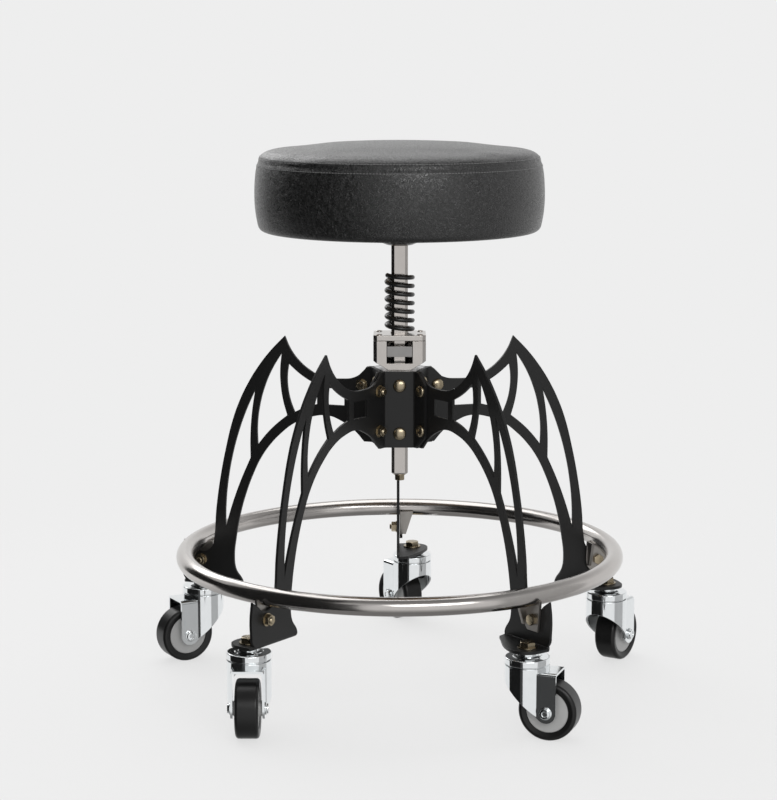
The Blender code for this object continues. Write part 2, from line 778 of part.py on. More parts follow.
def lock_plan():
    return box_outline(LOCK_W / 2, LOCK_D / 2, LOCK_EDGE)


def build_lock_block(base):
    """Block with sloped lower corners, open in front and above round the lock plate, and its cap."""
    half = LOCK_W / 2
    foot = half - LOCK_SLOPE_W
    rise = LOCK_SLOPE_H * (LOCK_SLOPE_W + LAP) / LOCK_SLOPE_W
    front = [(-foot, 0), (foot, 0), (half + LAP, rise), (half + LAP, LOCK_H),
             (-half - LAP, LOCK_H), (-half - LAP, rise)]
    body = prism(front, -LOCK_D / 2 - LAP, LOCK_D / 2 + LAP, "y")
    slot = moved(prism(box_outline(WINDOW_W / 2, LOCK_D), LOCK_FLOOR, LOCK_H + LAP),
                 shift(y=-LOCK_D / 2 - LOCK_REAR_WALL))
    bore = square_bar(SLIDE_CLEAR, -LAP, LOCK_FLOOR + LAP)
    pin_hole = moved(drill(PIN_R, -LOCK_W, LOCK_W), TO_X, shift(y=PIN_Y, z=PIN_RISE))
    plan = prism(lock_plan(), -LAP, LOCK_H + 2 * LAP)
    block = combine(body, cuts=[slot, bore, pin_hole], keeps=[plan])
    put("lock_block", block, "satin_steel", base, (0, 0, LOCK_Z))
    cap = combine(prism(lock_plan(), 0, CAP_T), cuts=[square_bar(SLIDE_CLEAR, -LAP, CAP_T + LAP)])
    put("lock_cap", cap, "satin_steel", base, (0, 0, CAP_Z))
    reach = half - PIN_INSET
    pin = moved(turned([(0, -reach), (PIN_R, -reach), (PIN_R, reach), (0, reach)], ROUND), TO_X)
    put("lock_pin", pin, "dark_steel", base, (0, PIN_Y, LOCK_Z + PIN_RISE))


def build_lock_plate(base):
    """Plate that hangs on the pin, tilts and grips the post, with a finger lip in the window."""
    front = -LOCK_D / 2 - PIN_Y + 2 * CLEAR
    half = LOCK_PLATE_T / 2
    knuckle = []
    start = math.asin(half / KNUCKLE_R)
    steps = 6
    for i in range(steps + 1):
        angle = start - math.pi + i * (2 * math.pi - 2 * start) / steps
        knuckle.append((KNUCKLE_R * math.cos(angle), KNUCKLE_R * math.sin(angle)))
    side = [(front, -LIP_DOWN), (front + LIP_T, -LIP_DOWN), (front + LIP_T, -half), *knuckle,
            (front + LIP_T, half), (front + LIP_T, LIP_UP), (front, LIP_UP)]
    width = WINDOW_W / 2 - SLIDE_CLEAR
    grip_room = SLIDE_CLEAR + LOCK_PLATE_T * math.sin(LOCK_TILT)
    post_hole = moved(square_bar(grip_room, -LIP_DOWN - LAP, LIP_UP + LAP), shift(y=-PIN_Y))
    pin_hole = moved(drill(PIN_R, -LOCK_W, LOCK_W), TO_X)
    plate = combine(prism(side, -width, width, "x"), cuts=[post_hole, pin_hole])
    axis = pivot("lock_axis", (0, PIN_Y, LOCK_Z + PIN_RISE), parent=base)
    put("lock_plate", plate, "dark_steel", axis, rotation=(LOCK_TILT, 0, 0))


def build_post(base):
    """Square post with cut corners, a round spigot on top and a bolt in its lower end."""
    low = HUB_Z - POST_BELOW
    top = HOUSING_Z - CLEAR
    tip, full = post_outline(-POST_END_CUT), post_outline()
    levels = ((tip, low), (full, low + POST_END_CUT), (full, top))
    bar = loft([[(x, y, z) for x, y in outline] for outline, z in levels])
    spigot_top = HOUSING_Z + BEARING_H
    spigot = turned([(0, top - LAP), (SPIGOT_R, top - LAP), (SPIGOT_R, spigot_top), (0, spigot_top)], 24)
    bolt_hole = drill(END_BOLT_R, low - LAP, low + END_BOLT_GRIP + CLEAR)
    slide = pivot("post_axis", (0, 0, 0), parent=base)
    put("post", combine(bar, adds=[spigot], cuts=[bolt_hole]), "satin_steel", slide)
    seat = low - CLEAR
    bolt = turned([
        (0, seat - END_BOLT_HEAD_H),
        (END_BOLT_HEAD_R, seat - END_BOLT_HEAD_H, True),
        (END_BOLT_HEAD_R, seat, True),
        (END_BOLT_R, seat),
        (END_BOLT_R, low + END_BOLT_GRIP),
        (0, low + END_BOLT_GRIP),
    ], ROUND)
    put("post_end_bolt", bolt, "yellow_zinc", slide)
    return slide


def spring_points(mean_r):
    """Centre line of the left-handed spring: closer turns at both ends, an even pitch between."""
    end_pitch = 2 * WIRE_R + SPRING_END_GAP
    rise = SPRING_H - 2 * WIRE_R
    pitch = (rise - 2 * SPRING_END_TURNS * end_pitch) / (SPRING_TURNS - 2 * SPRING_END_TURNS)
    last = SPRING_TURNS - SPRING_END_TURNS
    points = []
    count = round(SPRING_TURNS * POINTS_PER_TURN)
    for i in range(count + 1):
        turns = SPRING_TURNS * i / count
        low = min(turns, SPRING_END_TURNS)
        high = max(turns - last, 0)
        height = (low + high) * end_pitch + (turns - low - high) * pitch
        angle = SPRING_TOP_END + (SPRING_TURNS - turns) * math.tau
        points.append(Vector((mean_r * math.cos(angle), mean_r * math.sin(angle), WIRE_R + height)))
    return points


def report_spring_gap(points):
    """Least gap of the spring to itself, between points at least half a turn apart."""
    apart = POINTS_PER_TURN // 2
    gaps = [(one - two).length for i, one in enumerate(points) for two in points[i + apart:]]
    print(f"bump_spring: least gap to itself {(min(gaps) - 2 * WIRE_R) / MM:.2f} mm")


def build_spring(base):
    flat = math.cos(math.pi / POINTS_PER_TURN)
    points = spring_points((POST_CORNER_R + SLIDE_CLEAR + WIRE_R) / flat)
    report_spring_gap(points)
    curve = bpy.data.curves.new("bump_spring", "CURVE")
    curve.dimensions = "3D"
    curve.bevel_depth = WIRE_R
    curve.bevel_resolution = 1
    curve.use_fill_caps = True
    line = curve.splines.new("POLY")
    line.points.add(len(points) - 1)
    for spot, point in zip(line.points, points):
        spot.co = (*point, 1)
    put("bump_spring", curve, "black_enamel", base, (0, 0, SPRING_Z))


def build_swivel(seat):
    """Dished housing over a plain bearing on the post's spigot."""
    sides = 24
    bore = (BEARING_R + CLEAR) / math.cos(math.pi / sides)
    ceiling = BEARING_H + 2 * CLEAR
    under = HOUSING_H - HOUSING_FLANGE_T
    dish = arc((HOUSING_MOUTH_R, 0), (HOUSING_R, HOUSING_BELLY_H), HOUSING_BOW, 3)
    housing = turned([
        (0, ceiling), (bore, ceiling), (bore, 0), (HOUSING_MOUTH_R, 0), *dish, (HOUSING_R, under),
        (HOUSING_FLANGE_R, under), (HOUSING_FLANGE_R, HOUSING_H), (0, HOUSING_H),
    ], sides)
    put("swivel_housing", housing, "black_enamel", seat, (0, 0, HOUSING_Z))
    inner = hole_r(SPIGOT_R, sides)
    wall = [(inner, 0), (BEARING_R, 0), (BEARING_R, BEARING_H), (inner, BEARING_H)]
    put("swivel_bearing", turned(wall, sides, ring=True), "bronze", seat, (0, 0, HOUSING_Z))


def build_cushion(seat):
    """Crowned round cushion, drawn in at its seam and hem, with a board let into its underside."""
    sides = 36
    crown = (SEAT_CROWN_R, SEAT_H - SEAT_CROWN_H)
    seam = (SEAT_R - SEAM_IN, SEAT_H - SEAM_DROP)
    hem = (SEAT_R - SEAM_IN, HEM_H)
    side_bow = SEAM_IN / (SEAT_H - SEAM_DROP - HEM_H)
    outside = closed_path(
        (0, SEAT_H), (crown, SEAT_CROWN_BOW, 5), (seam, SEAT_SHOULDER_BOW, 3), (hem, side_bow, 6),
        ((SEAT_R - HEM_IN, 0), HEM_BOW, 3),
    )
    recess_r = (BOARD_R + CLEAR) / math.cos(math.pi / sides)
    recess_h = BOARD_T + CLEAR
    cushion = turned([*outside, (recess_r, 0), (recess_r, recess_h), (0, recess_h)], sides)
    put("seat_cushion", cushion, "black_vinyl", seat, (0, 0, SEAT_Z))
    board = turned([(0, 0), (BOARD_R, 0), (BOARD_R, BOARD_T), (0, BOARD_T)], sides)
    put("seat_board", board, "plywood", seat, (0, 0, SEAT_Z))


def build_stool():
    for old in list(bpy.data.objects):
        bpy.data.objects.remove(old)
    base = pivot("base", (0, 0, 0))
    build_legs(base)
    build_foot_ring(base)
    build_ring_bolts(base)
    build_casters(base)
    build_hub(base)
    build_lock_block(base)
    build_lock_plate(base)
    build_spring(base)
    post = build_post(base)
    seat = pivot("seat_axis", (0, 0, 0), parent=post)
    build_swivel(seat)
    build_cushion(seat)


build_stool()
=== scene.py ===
# %% [markdown]
# # A work stool on five plate legs
# An engineering model already gives every part its true size, place and joint. This lesson dresses it.
# Each part is modelled again as finely as the eye expects, then gets its finish, and the whole is lit as
# in a studio. The frame is loaded first, because every size and place below is read from it or set
# against it.

# %% Load the frame
import json
import math

import bmesh
import bpy
from mathutils import Matrix, Vector
from mathutils.bvhtree import BVHTree
from mathutils.noise import noise

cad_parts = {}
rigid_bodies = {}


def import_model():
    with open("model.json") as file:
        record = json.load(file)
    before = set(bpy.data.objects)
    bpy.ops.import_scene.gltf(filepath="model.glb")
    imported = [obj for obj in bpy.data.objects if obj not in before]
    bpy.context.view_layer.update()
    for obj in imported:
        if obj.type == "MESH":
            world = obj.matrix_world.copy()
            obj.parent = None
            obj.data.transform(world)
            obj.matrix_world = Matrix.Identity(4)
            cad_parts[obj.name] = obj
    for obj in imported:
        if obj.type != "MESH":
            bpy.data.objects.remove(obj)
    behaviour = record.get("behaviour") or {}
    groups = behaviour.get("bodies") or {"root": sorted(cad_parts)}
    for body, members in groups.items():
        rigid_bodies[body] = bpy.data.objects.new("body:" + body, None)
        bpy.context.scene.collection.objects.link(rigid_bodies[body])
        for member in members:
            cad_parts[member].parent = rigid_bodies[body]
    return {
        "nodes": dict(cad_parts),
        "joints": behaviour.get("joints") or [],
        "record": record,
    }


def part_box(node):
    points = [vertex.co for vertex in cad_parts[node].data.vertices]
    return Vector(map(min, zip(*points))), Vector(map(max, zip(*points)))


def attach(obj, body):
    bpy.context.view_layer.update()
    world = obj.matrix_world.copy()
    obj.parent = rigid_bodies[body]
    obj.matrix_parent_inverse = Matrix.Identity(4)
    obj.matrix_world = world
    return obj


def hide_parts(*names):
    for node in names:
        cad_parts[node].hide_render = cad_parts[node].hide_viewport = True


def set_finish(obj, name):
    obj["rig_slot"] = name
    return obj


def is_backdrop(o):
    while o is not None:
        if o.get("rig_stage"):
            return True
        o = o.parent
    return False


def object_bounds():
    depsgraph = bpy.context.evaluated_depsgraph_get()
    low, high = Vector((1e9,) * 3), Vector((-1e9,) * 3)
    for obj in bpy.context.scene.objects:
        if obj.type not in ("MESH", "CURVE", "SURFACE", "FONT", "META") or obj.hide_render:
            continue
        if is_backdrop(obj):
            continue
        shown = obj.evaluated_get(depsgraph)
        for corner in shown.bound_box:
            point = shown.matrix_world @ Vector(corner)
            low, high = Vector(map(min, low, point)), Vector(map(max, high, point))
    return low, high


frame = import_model()
cad_low, cad_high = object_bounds()
MM = 0.001
SIDES = ("rear", "left", "front_left", "front_right", "right")
FIRST_LEG = math.radians(90)
LEG_STEP = math.tau / len(SIDES)
joints = {joint["name"]: joint for joint in frame["joints"]}
print("frame:", len(frame["nodes"]), "nodes, box in mm", [round(x / MM) for x in cad_high - cad_low])

# %% [markdown]
# The camera comes next, so that every render can be laid beside the photograph. It stands almost three
# metres away with a long lens, a little above the seat, and looks down by less than ten degrees. The
# stool stands slightly right of the picture's middle, so the lens is shifted sideways by a little.


# %% Camera
def added(name, data):
    """New object in the scene with that mesh, curve, light or camera."""
    thing = bpy.data.objects.new(name, data)
    bpy.context.scene.collection.objects.link(thing)
    return thing


CAMERA_PLACE = (0, -2.9376, 0.8772)
CAMERA_TILT = 9.54  # degrees below level
LENS = 100.45  # millimetres
LENS_SHIFT = -0.0139  # share of the picture's width
camera = added("camera", bpy.data.cameras.new("camera"))
bpy.context.scene.camera = camera
bpy.context.scene.view_settings.view_transform = "Standard"
camera.location = CAMERA_PLACE
camera.rotation_euler = (math.radians(90 - CAMERA_TILT), 0, 0)
camera.data.sensor_width = 36
camera.data.lens = LENS
camera.data.shift_x = LENS_SHIFT
camera.data.clip_end = 50
print("camera: lens", LENS, "mm")

# %% [markdown]
# Most parts of the stool are turned, bent from plate, or swept along a line, so a few tools make nearly
# all of them. A skin runs through rings of points, a turned piece spins a profile, and a rounded line has
# an arc in each corner, because no real edge is a knife edge: its small arc is what catches the light.


# %% Shape tools
def cleaned(bm):
    """The mesh of a bmesh with doubled points welded and every face looking outwards."""
    bmesh.ops.remove_doubles(bm, verts=bm.verts, dist=0.001 * MM)
    bmesh.ops.recalc_face_normals(bm, faces=bm.faces)
    mesh = bpy.data.meshes.new("shape")
    bm.to_mesh(mesh)
    bm.free()
    return mesh


def skin(rings, ends=True, loop=False):
    """Mesh through rings of equally many points, with flat ends unless it is open or a loop."""
    bm = bmesh.new()
    rows = [[bm.verts.new(point) for point in ring] for ring in rings]
    pairs = list(zip(rows, rows[1:]))
    if loop:
        pairs.append((rows[-1], rows[0]))
    elif ends:
        bm.faces.new(rows[0])
        bm.faces.new(rows[-1])
    for one, two in pairs:
        for i in range(len(one)):
            bm.faces.new((one[i - 1], one[i], two[i], two[i - 1]))
    return cleaned(bm)


def turned(profile, sides=72, loop=False):
    """Mesh spun about Z from (radius, height) points; it is closed on the axis, or as a ring by loop."""
    rings = []
    for radius, height in profile:
        ring = []
        for i in range(sides):
            angle = math.tau * i / sides
            ring.append((radius * math.cos(angle), radius * math.sin(angle), height))
        rings.append(ring)
    return skin(rings, ends=False, loop=loop)


def rounded(points, radius, steps=4):
    """The open line through the points with an arc of that radius in each inner corner."""
    line = [Vector(point) for point in points]
    made = [line[0]]
    for before, corner, after in zip(line, line[1:], line[2:]):
        one, two = before - corner, after - corner
        half = one.angle(two) / 2
        reach = min(radius / math.tan(half), 0.49 * one.length, 0.49 * two.length)
        sweep = math.pi - 2 * half
        centre = corner + (one.normalized() + two.normalized()).normalized() * reach / math.cos(half)
        start = corner + one.normalized() * reach - centre
        end = corner + two.normalized() * reach - centre
        for i in range(steps + 1):
            there = math.sin(sweep * i / steps)
            back = math.sin(sweep * (1 - i / steps))
            made.append(centre + (start * back + end * there) / math.sin(sweep))
    return made + [line[-1]]


print("shape tools ready")

# %% [markdown]
# A shape is drawn once, at the origin, and a matrix then puts it wherever it is needed. Drawing it in
# place would do too, but this way no drawing has to know where its piece stands or how often it is used.


# %% Placing tools
def shift(x=0.0, y=0.0, z=0.0):
    """Matrix that moves a piece."""
    return Matrix.Translation((x, y, z))


def turn(angle, axis="Z"):
    """Matrix that turns a piece about an axis through the origin."""
    return Matrix.Rotation(angle, 4, axis)


def towards(place, way):
    """Matrix that puts a piece at a place with its Z axis along a direction."""
    return Matrix.Translation(place) @ Vector(way).to_track_quat("Z", "Y").to_matrix().to_4x4()


HERE = Matrix.Identity(4)
print("placing tools ready")

# %% [markdown]
# Fitting joins the shapes of a piece to one mesh, shades it smooth between its sharp edges, and weights
# its normals by area, so that flat faces look flat right up to their rounded edges. The piece then rides
# a body of the engineering model and takes the place of the plain parts that it stands for.


# %% Fitting tools
def applied(piece):
    """The mesh that an object shows with its modifiers, after which the object is removed."""
    graph = bpy.context.evaluated_depsgraph_get()
    mesh = bpy.data.meshes.new_from_object(piece.evaluated_get(graph))
    bpy.data.objects.remove(piece)
    return mesh


def fit(name, shapes, slot, body, *nodes, sharp=35):
    """One piece of (mesh, matrix) pairs that rides a body, takes a finish and stands for CAD nodes.

    Edges that bend by more than the angle sharp, in degrees, stay crisp.
    """
    bm = bmesh.new()
    for mesh, place in shapes:
        first = len(bm.verts)
        bm.from_mesh(mesh)
        bm.verts.ensure_lookup_table()
        bmesh.ops.transform(bm, matrix=place, verts=bm.verts[first:])
    whole = bpy.data.meshes.new(name)
    bm.to_mesh(whole)
    bm.free()
    whole.shade_smooth()
    whole.set_sharp_from_angle(angle=math.radians(sharp))
    holder = added("holder", whole)
    level = holder.modifiers.new("level", "WEIGHTED_NORMAL")
    level.keep_sharp = True
    piece = added(name, applied(holder))
    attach(piece, body)
    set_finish(piece, slot)
    if nodes:
        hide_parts(*nodes)
    return piece


print("fitting tools ready")

# %% [markdown]
# Plate is cut along outlines. They could be drawn again by hand, but here they are read from the flat
# faces of the engineering model, so that the fine plate and the plain one always agree. The edges round
# those faces are followed from point to point until each loop closes.


# %% Outlines
def outlines(node, place, facing, level):
    """Closed outlines of a node's flat faces that look one way at one level, in the frame of place."""
    bm = bmesh.new()
    bm.from_mesh(frame["nodes"][node].data)
    bmesh.ops.transform(bm, matrix=place, verts=bm.verts)
    bmesh.ops.remove_doubles(bm, verts=bm.verts, dist=0.02 * MM)
    bm.normal_update()
    facing = Vector(facing)
    flat = set()
    for face in bm.faces:
        off = face.calc_center_median().dot(facing) - level
        if face.normal.dot(facing) > 0.999 and abs(off) < 0.1 * MM:
            flat.add(face)
    near = {}
    for edge in bm.edges:
        if sum(face in flat for face in edge.link_faces) == 1:
            one, two = edge.verts
            near.setdefault(one, []).append(two)
            near.setdefault(two, []).append(one)
    loops = []
    while near:
        loop = [next(iter(near))]
        following = near.pop(loop[0])
        while following:
            loop.append(following[0])
            following = [point for point in near.pop(loop[-1]) if point in near]
        loops.append([point.co.copy() for point in loop])
    bm.free()
    return loops


print("outlines ready")

# %% [markdown]
# A sheet is cut from flat plate. It is a filled curve that is thickened and given a small round on its
# edges. Corners of the outline stay sharp, and all other points become one smooth curve, where a mesh of
# straight pieces would show each of them in the light.

# %% Sheets
PLATE_EASE = 0.5 * MM
CORNER = math.radians(33)  # a sharper bend of the outline is a corner
KINK = math.radians(12)  # so is one sharper than this that stands alone,
ALONE = 3  # which means that it bends this many times as much as its neighbours


def sheet(loops, thickness):
    """Flat plate about z 0, cut along closed loops of 2D points, with eased edges."""
    curve = bpy.data.curves.new("sheet", "CURVE")
    curve.dimensions = "2D"
    curve.fill_mode = "BOTH"
    curve.extrude = thickness / 2 - PLATE_EASE
    curve.bevel_depth = PLATE_EASE
    curve.bevel_resolution = 1
    curve.offset = -PLATE_EASE
    curve.resolution_u = 5
    for loop in loops:
        points = [Vector(point) for point in loop]
        count = len(points)
        edges = [points[i] - points[i - 1] for i in range(count)]
        bends = [edges[i].angle(edges[(i + 1) % count]) for i in range(count)]
        line = curve.splines.new("BEZIER")
        line.use_cyclic_u = True
        line.bezier_points.add(count - 1)
        for i, spot in enumerate(line.bezier_points):
            spot.co = (*points[i], 0)
            alone = bends[i] > KINK and bends[i] > ALONE * max(bends[i - 1], bends[(i + 1) % count])
            kind = "VECTOR" if bends[i] > CORNER or alone else "AUTO"
            spot.handle_left_type = kind
            spot.handle_right_type = kind
    return applied(added("holder", curve))


print("sheets ready")

# %% [markdown]
# A leg is one piece of 4 mm steel plate. It is cut flat with its four windows, then bent three times:
# once to form a side of the hub, once more to lie against the next leg, and at the foot to carry the
# caster. Modelling it that way gives the soft inside corners that a folded plate shows. The upright
# part comes first, cut along the outlines of the rear leg after it is turned to lie along X.

# %% Leg plate
PLATE_T = 4 * MM
PLATE_GAP = 0.15 * MM  # each plate stands this far from its leg's middle plane
PLATE_MID = PLATE_GAP + PLATE_T / 2
to_rear = turn(-FIRST_LEG)
side_loops = outlines("leg_rear", to_rear, (0, -1, 0), -PLATE_GAP)
plate = sheet([[(p.x, p.z) for p in loop] for loop in side_loops], PLATE_T)
upright = shift(y=PLATE_MID) @ turn(math.radians(90), "X")
print("leg plate:", len(side_loops), "cut lines")

# %% [markdown]
# A strip is bent plate: it follows a line in plan, with its own lower and upper edge at each point. Its
# section is a rectangle with rounded corners, and a skin runs through one such section after another.


# %% Strips
def strip(line, lows, highs, thickness, ease=PLATE_EASE):
    """Upright band along a plan line, between its lower and upper edge at each point."""
    rings = []
    half = thickness / 2
    for i, spot in enumerate(line):
        ahead = line[min(i + 1, len(line) - 1)] - line[max(i - 1, 0)]
        left = Vector((-ahead.y, ahead.x)).normalized()
        corners = ((half - ease, lows[i] + ease), (half - ease, highs[i] - ease),
                   (ease - half, highs[i] - ease), (ease - half, lows[i] + ease))
        ring = []
        for quarter, (across, up) in enumerate(corners):
            for part in (0, 0.5, 1):
                angle = (quarter - 1 + part) * math.pi / 2
                side = spot + left * (across + ease * math.cos(angle))
                ring.append((side.x, side.y, up + ease * math.sin(angle)))
        rings.append(ring)
    return skin(rings)


print("strips ready")

# %% [markdown]
# At the hub the plate turns twice: across one side of the hub, and again into a flange that lies against
# the next leg. In plan that is one bent line, the same on both sides of the middle of the hub's face, so
# a strip along it gives the shape. The flange's corners are cut off.

# %% Hub band
BEND_R = 6 * MM  # at the middle of the plate
FLANGE_R = 61 * MM  # how far out the flange reaches
FLANGE_CUT = 16 * MM  # length over which its corners are cut off
FLANGE_STEPS = 6
core_low, core_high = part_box("hub_core")
HUB_LOW, HUB_HIGH = core_low.z, core_high.z
CORE_R = core_high.y * math.cos(LEG_STEP / 2)  # a corner of the core points along the rear leg
HUB_FACE_R = CORE_R + 2 * PLATE_GAP + PLATE_T / 2
half_way = Vector((math.cos(LEG_STEP / 2), math.sin(LEG_STEP / 2)))
next_leg = Vector((math.cos(LEG_STEP), math.sin(LEG_STEP)))
bend = Vector(((HUB_FACE_R - PLATE_MID * half_way.y) / half_way.x, PLATE_MID))
bend_end = Vector((bend.x + BEND_R, PLATE_MID))


def across_face(point):
    """The point mirrored over the middle of the hub's face."""
    return 2 * half_way.dot(point) * half_way - point


flange_end = across_face(Vector((FLANGE_R, PLATE_MID)))
hub_line = rounded([bend_end, bend, across_face(bend), flange_end], BEND_R, steps=8)[1:-1]
arc_end = hub_line[-1]
hub_line += [arc_end.lerp(flange_end, i / FLANGE_STEPS) for i in range(1, FLANGE_STEPS + 1)]
cuts = [max(0, point.dot(next_leg) - FLANGE_R + FLANGE_CUT) for point in hub_line]
hub_band = strip(hub_line, [HUB_LOW + cut for cut in cuts], [HUB_HIGH - cut for cut in cuts], PLATE_T)
print("hub band:", round((HUB_HIGH - HUB_LOW) / MM), "mm high")

# %% [markdown]
# The foot is bent square to the plate. It is a second sheet, cut along the outline of the leg's
# underside, and a quarter round joins the two. All five legs come from this one drawing, turned in steps
# of 72 degrees.

# %% Feet and legs
FOOT_BEND_R = 3.5 * MM
BEND_STEPS = 8
FOOT_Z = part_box("leg_rear")[0].z
bend_y = PLATE_MID - FOOT_BEND_R  # the foot is flat up to here
foot_loops = []
for loop in outlines("leg_rear", to_rear, (0, 0, -1), -FOOT_Z):
    foot_loops.append([(p.x, min(p.y, bend_y)) for p in loop])
foot = sheet(foot_loops, PLATE_T)
foot_edge = [x for loop in foot_loops for x, y in loop if y > bend_y - 1 * MM]
plate_edge = [p.x for loop in side_loops for p in loop if p.z < FOOT_Z + 2 * PLATE_T]
shares = [i / BEND_STEPS for i in range(BEND_STEPS + 1)]
arcs = [(FOOT_BEND_R + PLATE_T / 2, share) for share in shares]
arcs += [(FOOT_BEND_R - PLATE_T / 2, share) for share in reversed(shares)]
bend_rings = []
for along in shares:
    ring = []
    for radius, share in arcs:
        angle = math.pi / 2 * share
        start = min(plate_edge) + (min(foot_edge) - min(plate_edge)) * share
        end = max(plate_edge) + (max(foot_edge) - max(plate_edge)) * share
        ring.append((start + (end - start) * along, bend_y + radius * math.cos(angle),
                     FOOT_Z + FOOT_BEND_R + PLATE_T / 2 - radius * math.sin(angle)))
    bend_rings.append(ring)
foot_bend = skin(bend_rings)
leg_shapes = [(plate, upright), (hub_band, HERE), (foot_bend, HERE), (foot, shift(z=FOOT_Z + PLATE_T / 2))]
for i, side in enumerate(SIDES):
    spin = turn(FIRST_LEG + i * LEG_STEP)
    fit(f"leg_plate_{side}", [(mesh, spin @ place) for mesh, place in leg_shapes],
        "black_powder_coat", "base", f"leg_{side}")
print("legs:", len(SIDES), "with feet at", round(FOOT_Z / MM, 1), "mm")

# %% [markdown]
# Bolts and nuts are small, but they are what tells a viewer that the frame is really held together. A
# hexagon head is a hexagon whose top corners are cut by a cone; that cone is why the top shows a circle.
# A button head is a shallow dome. Each is drawn once, standing on z 0, and then put wherever it is used.

# %% Fasteners
HEX_STEPS = 48
DOME_STEPS = 8
PITCH = 1.25 * MM
TIP = 0.6 * MM


def hexagon(across, height):
    """Hexagon head or nut of that width across its corners, with its top corners cut by a cone."""
    flat = across / 2 * math.cos(math.pi / 6)
    crown = 0.95 * flat
    angles = [math.tau * i / HEX_STEPS for i in range(HEX_STEPS)]
    reach = [flat / math.cos((angle + math.pi / 6) % (math.pi / 3) - math.pi / 6) for angle in angles]
    shoulder = [height - (r - crown) * math.tan(math.radians(30)) for r in reach]
    zero, top = [0] * HEX_STEPS, [height] * HEX_STEPS
    rings = []
    for radii, heights in (
        (zero, zero), (reach, zero), (reach, shoulder), ([crown] * HEX_STEPS, top), (zero, top),
    ):
        rings.append([(r * math.cos(a), r * math.sin(a), z) for r, a, z in zip(radii, angles, heights)])
    return skin(rings, ends=False)


def button(radius, height):
    """Round head: a short upright rim under a dome."""
    rim = 0.22 * height
    profile = [(0, 0), (radius, 0), (radius, rim)]
    for i in range(1, DOME_STEPS + 1):
        angle = math.pi / 2 * i / DOME_STEPS
        profile.append((radius * math.cos(angle), rim + (height - rim) * math.sin(angle)))
    return turned(profile, 48)


def washer(radius, thickness):
    """Flat round plate; its hole isn't drawn, because a bolt fills it."""
    return turned(rounded([(0, 0), (radius, 0), (radius, thickness), (0, thickness)], 0.3 * MM, 2), 48)


def stud(radius, length):
    """End of a bolt: a cylinder with thread rings and a chamfered tip."""
    profile = [(0, 0)]
    for i in range(int(length / PITCH)):
        profile += [(radius, i * PITCH + 0.2 * PITCH), (0.88 * radius, i * PITCH + 0.7 * PITCH)]
    profile += [(radius, length - TIP), (radius - TIP, length), (0, length)]
    return turned(profile, 32)


print("fasteners ready")

# %% [markdown]
# The hub is held by two sets of bolts. Two button heads on each of its five sides screw into the core,
# and two more per leg clamp the bent flange of one leg to the plate of the next, with a washer and a nut
# on the far side. All of them are yellow zinc plated, which gives the warm brassy colour.

# %% Hub bolts
FACE_HEAD_R = 8.6 * MM
FLANGE_HEAD_R = 8.2 * MM
HEAD_H = 4.8 * MM
WASHER_T = 1.4 * MM
NUT_H = 6 * MM
BOLT_R = 4 * MM
FLANGE_BOLT_R = 52 * MM  # distance from the hub's middle
FLANGE_BOLT_SPAN = 53 * MM


def clamped(spot, head, stack):
    """A bolt through a leg: its head on the right face, and a stack of (mesh, height) on the left one."""
    face = PLATE_GAP + PLATE_T
    right = spot @ shift(y=-face) @ turn(math.radians(90), "X")
    left = spot @ shift(y=face) @ turn(math.radians(-90), "X")
    return [(head, right)] + [(mesh, left @ shift(z=height)) for mesh, height in stack]


bolt_low, bolt_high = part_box("hub_bolt_rear_lower")
lower_bolt = (bolt_low.z + bolt_high.z) / 2
HUB_MID = (HUB_LOW + HUB_HIGH) / 2
face_seat = HUB_FACE_R + PLATE_T / 2
face_head, flange_head = button(FACE_HEAD_R, HEAD_H), button(FLANGE_HEAD_R, HEAD_H)
flange_stack = [(washer(FLANGE_HEAD_R, WASHER_T), 0), (hexagon(14 * MM, NUT_H), WASHER_T),
                (stud(BOLT_R, 3 * MM), WASHER_T + NUT_H)]
hub_shapes, hub_nodes = [], []
for i, side in enumerate(SIDES):
    leg = FIRST_LEG + i * LEG_STEP
    out = Vector((math.cos(leg + LEG_STEP / 2), math.sin(leg + LEG_STEP / 2), 0))
    for height in (lower_bolt, 2 * HUB_MID - lower_bolt):
        hub_shapes.append((face_head, towards(out * face_seat + Vector((0, 0, height)), out)))
    hub_nodes += [f"hub_bolt_{side}_lower", f"hub_bolt_{side}_upper"]
    for height in (HUB_MID - FLANGE_BOLT_SPAN / 2, HUB_MID + FLANGE_BOLT_SPAN / 2):
        spot = turn(leg) @ shift(x=FLANGE_BOLT_R, z=height)
        hub_shapes += clamped(spot, flange_head, flange_stack)
fit("hub_bolts", hub_shapes, "yellow_zinc", "base", *hub_nodes)
print("hub bolts:", len(hub_nodes), "in the core and", 2 * len(SIDES), "through the flanges")

# %% [markdown]
# The foot ring is a steel tube rolled into a hoop and polished. A bevelled circle would give it too, but
# its long smooth highlights depend on enough steps round both circles, so it is turned from its section.

# %% Foot ring
TUBE_R = 12 * MM
RING_R = 288 * MM
RING_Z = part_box("foot_ring")[1].z - TUBE_R
TUBE_STEPS = 40
profile = []
for i in range(TUBE_STEPS):
    angle = math.tau * i / TUBE_STEPS
    profile.append((RING_R + TUBE_R * math.cos(angle), RING_Z + TUBE_R * math.sin(angle)))
fit("ring_hoop", [(turned(profile, 240, loop=True), HERE)], "polished_steel", "base", "foot_ring")
print("foot ring:", round(2 * (RING_R + TUBE_R) / MM), "mm across")

# %% [markdown]
# Five short angle tabs are welded under the ring. The leaf of each is bolted to the right side of a leg,
# and its wing stands square to that at the inner end. Both are cut from plate, so both are sheets.

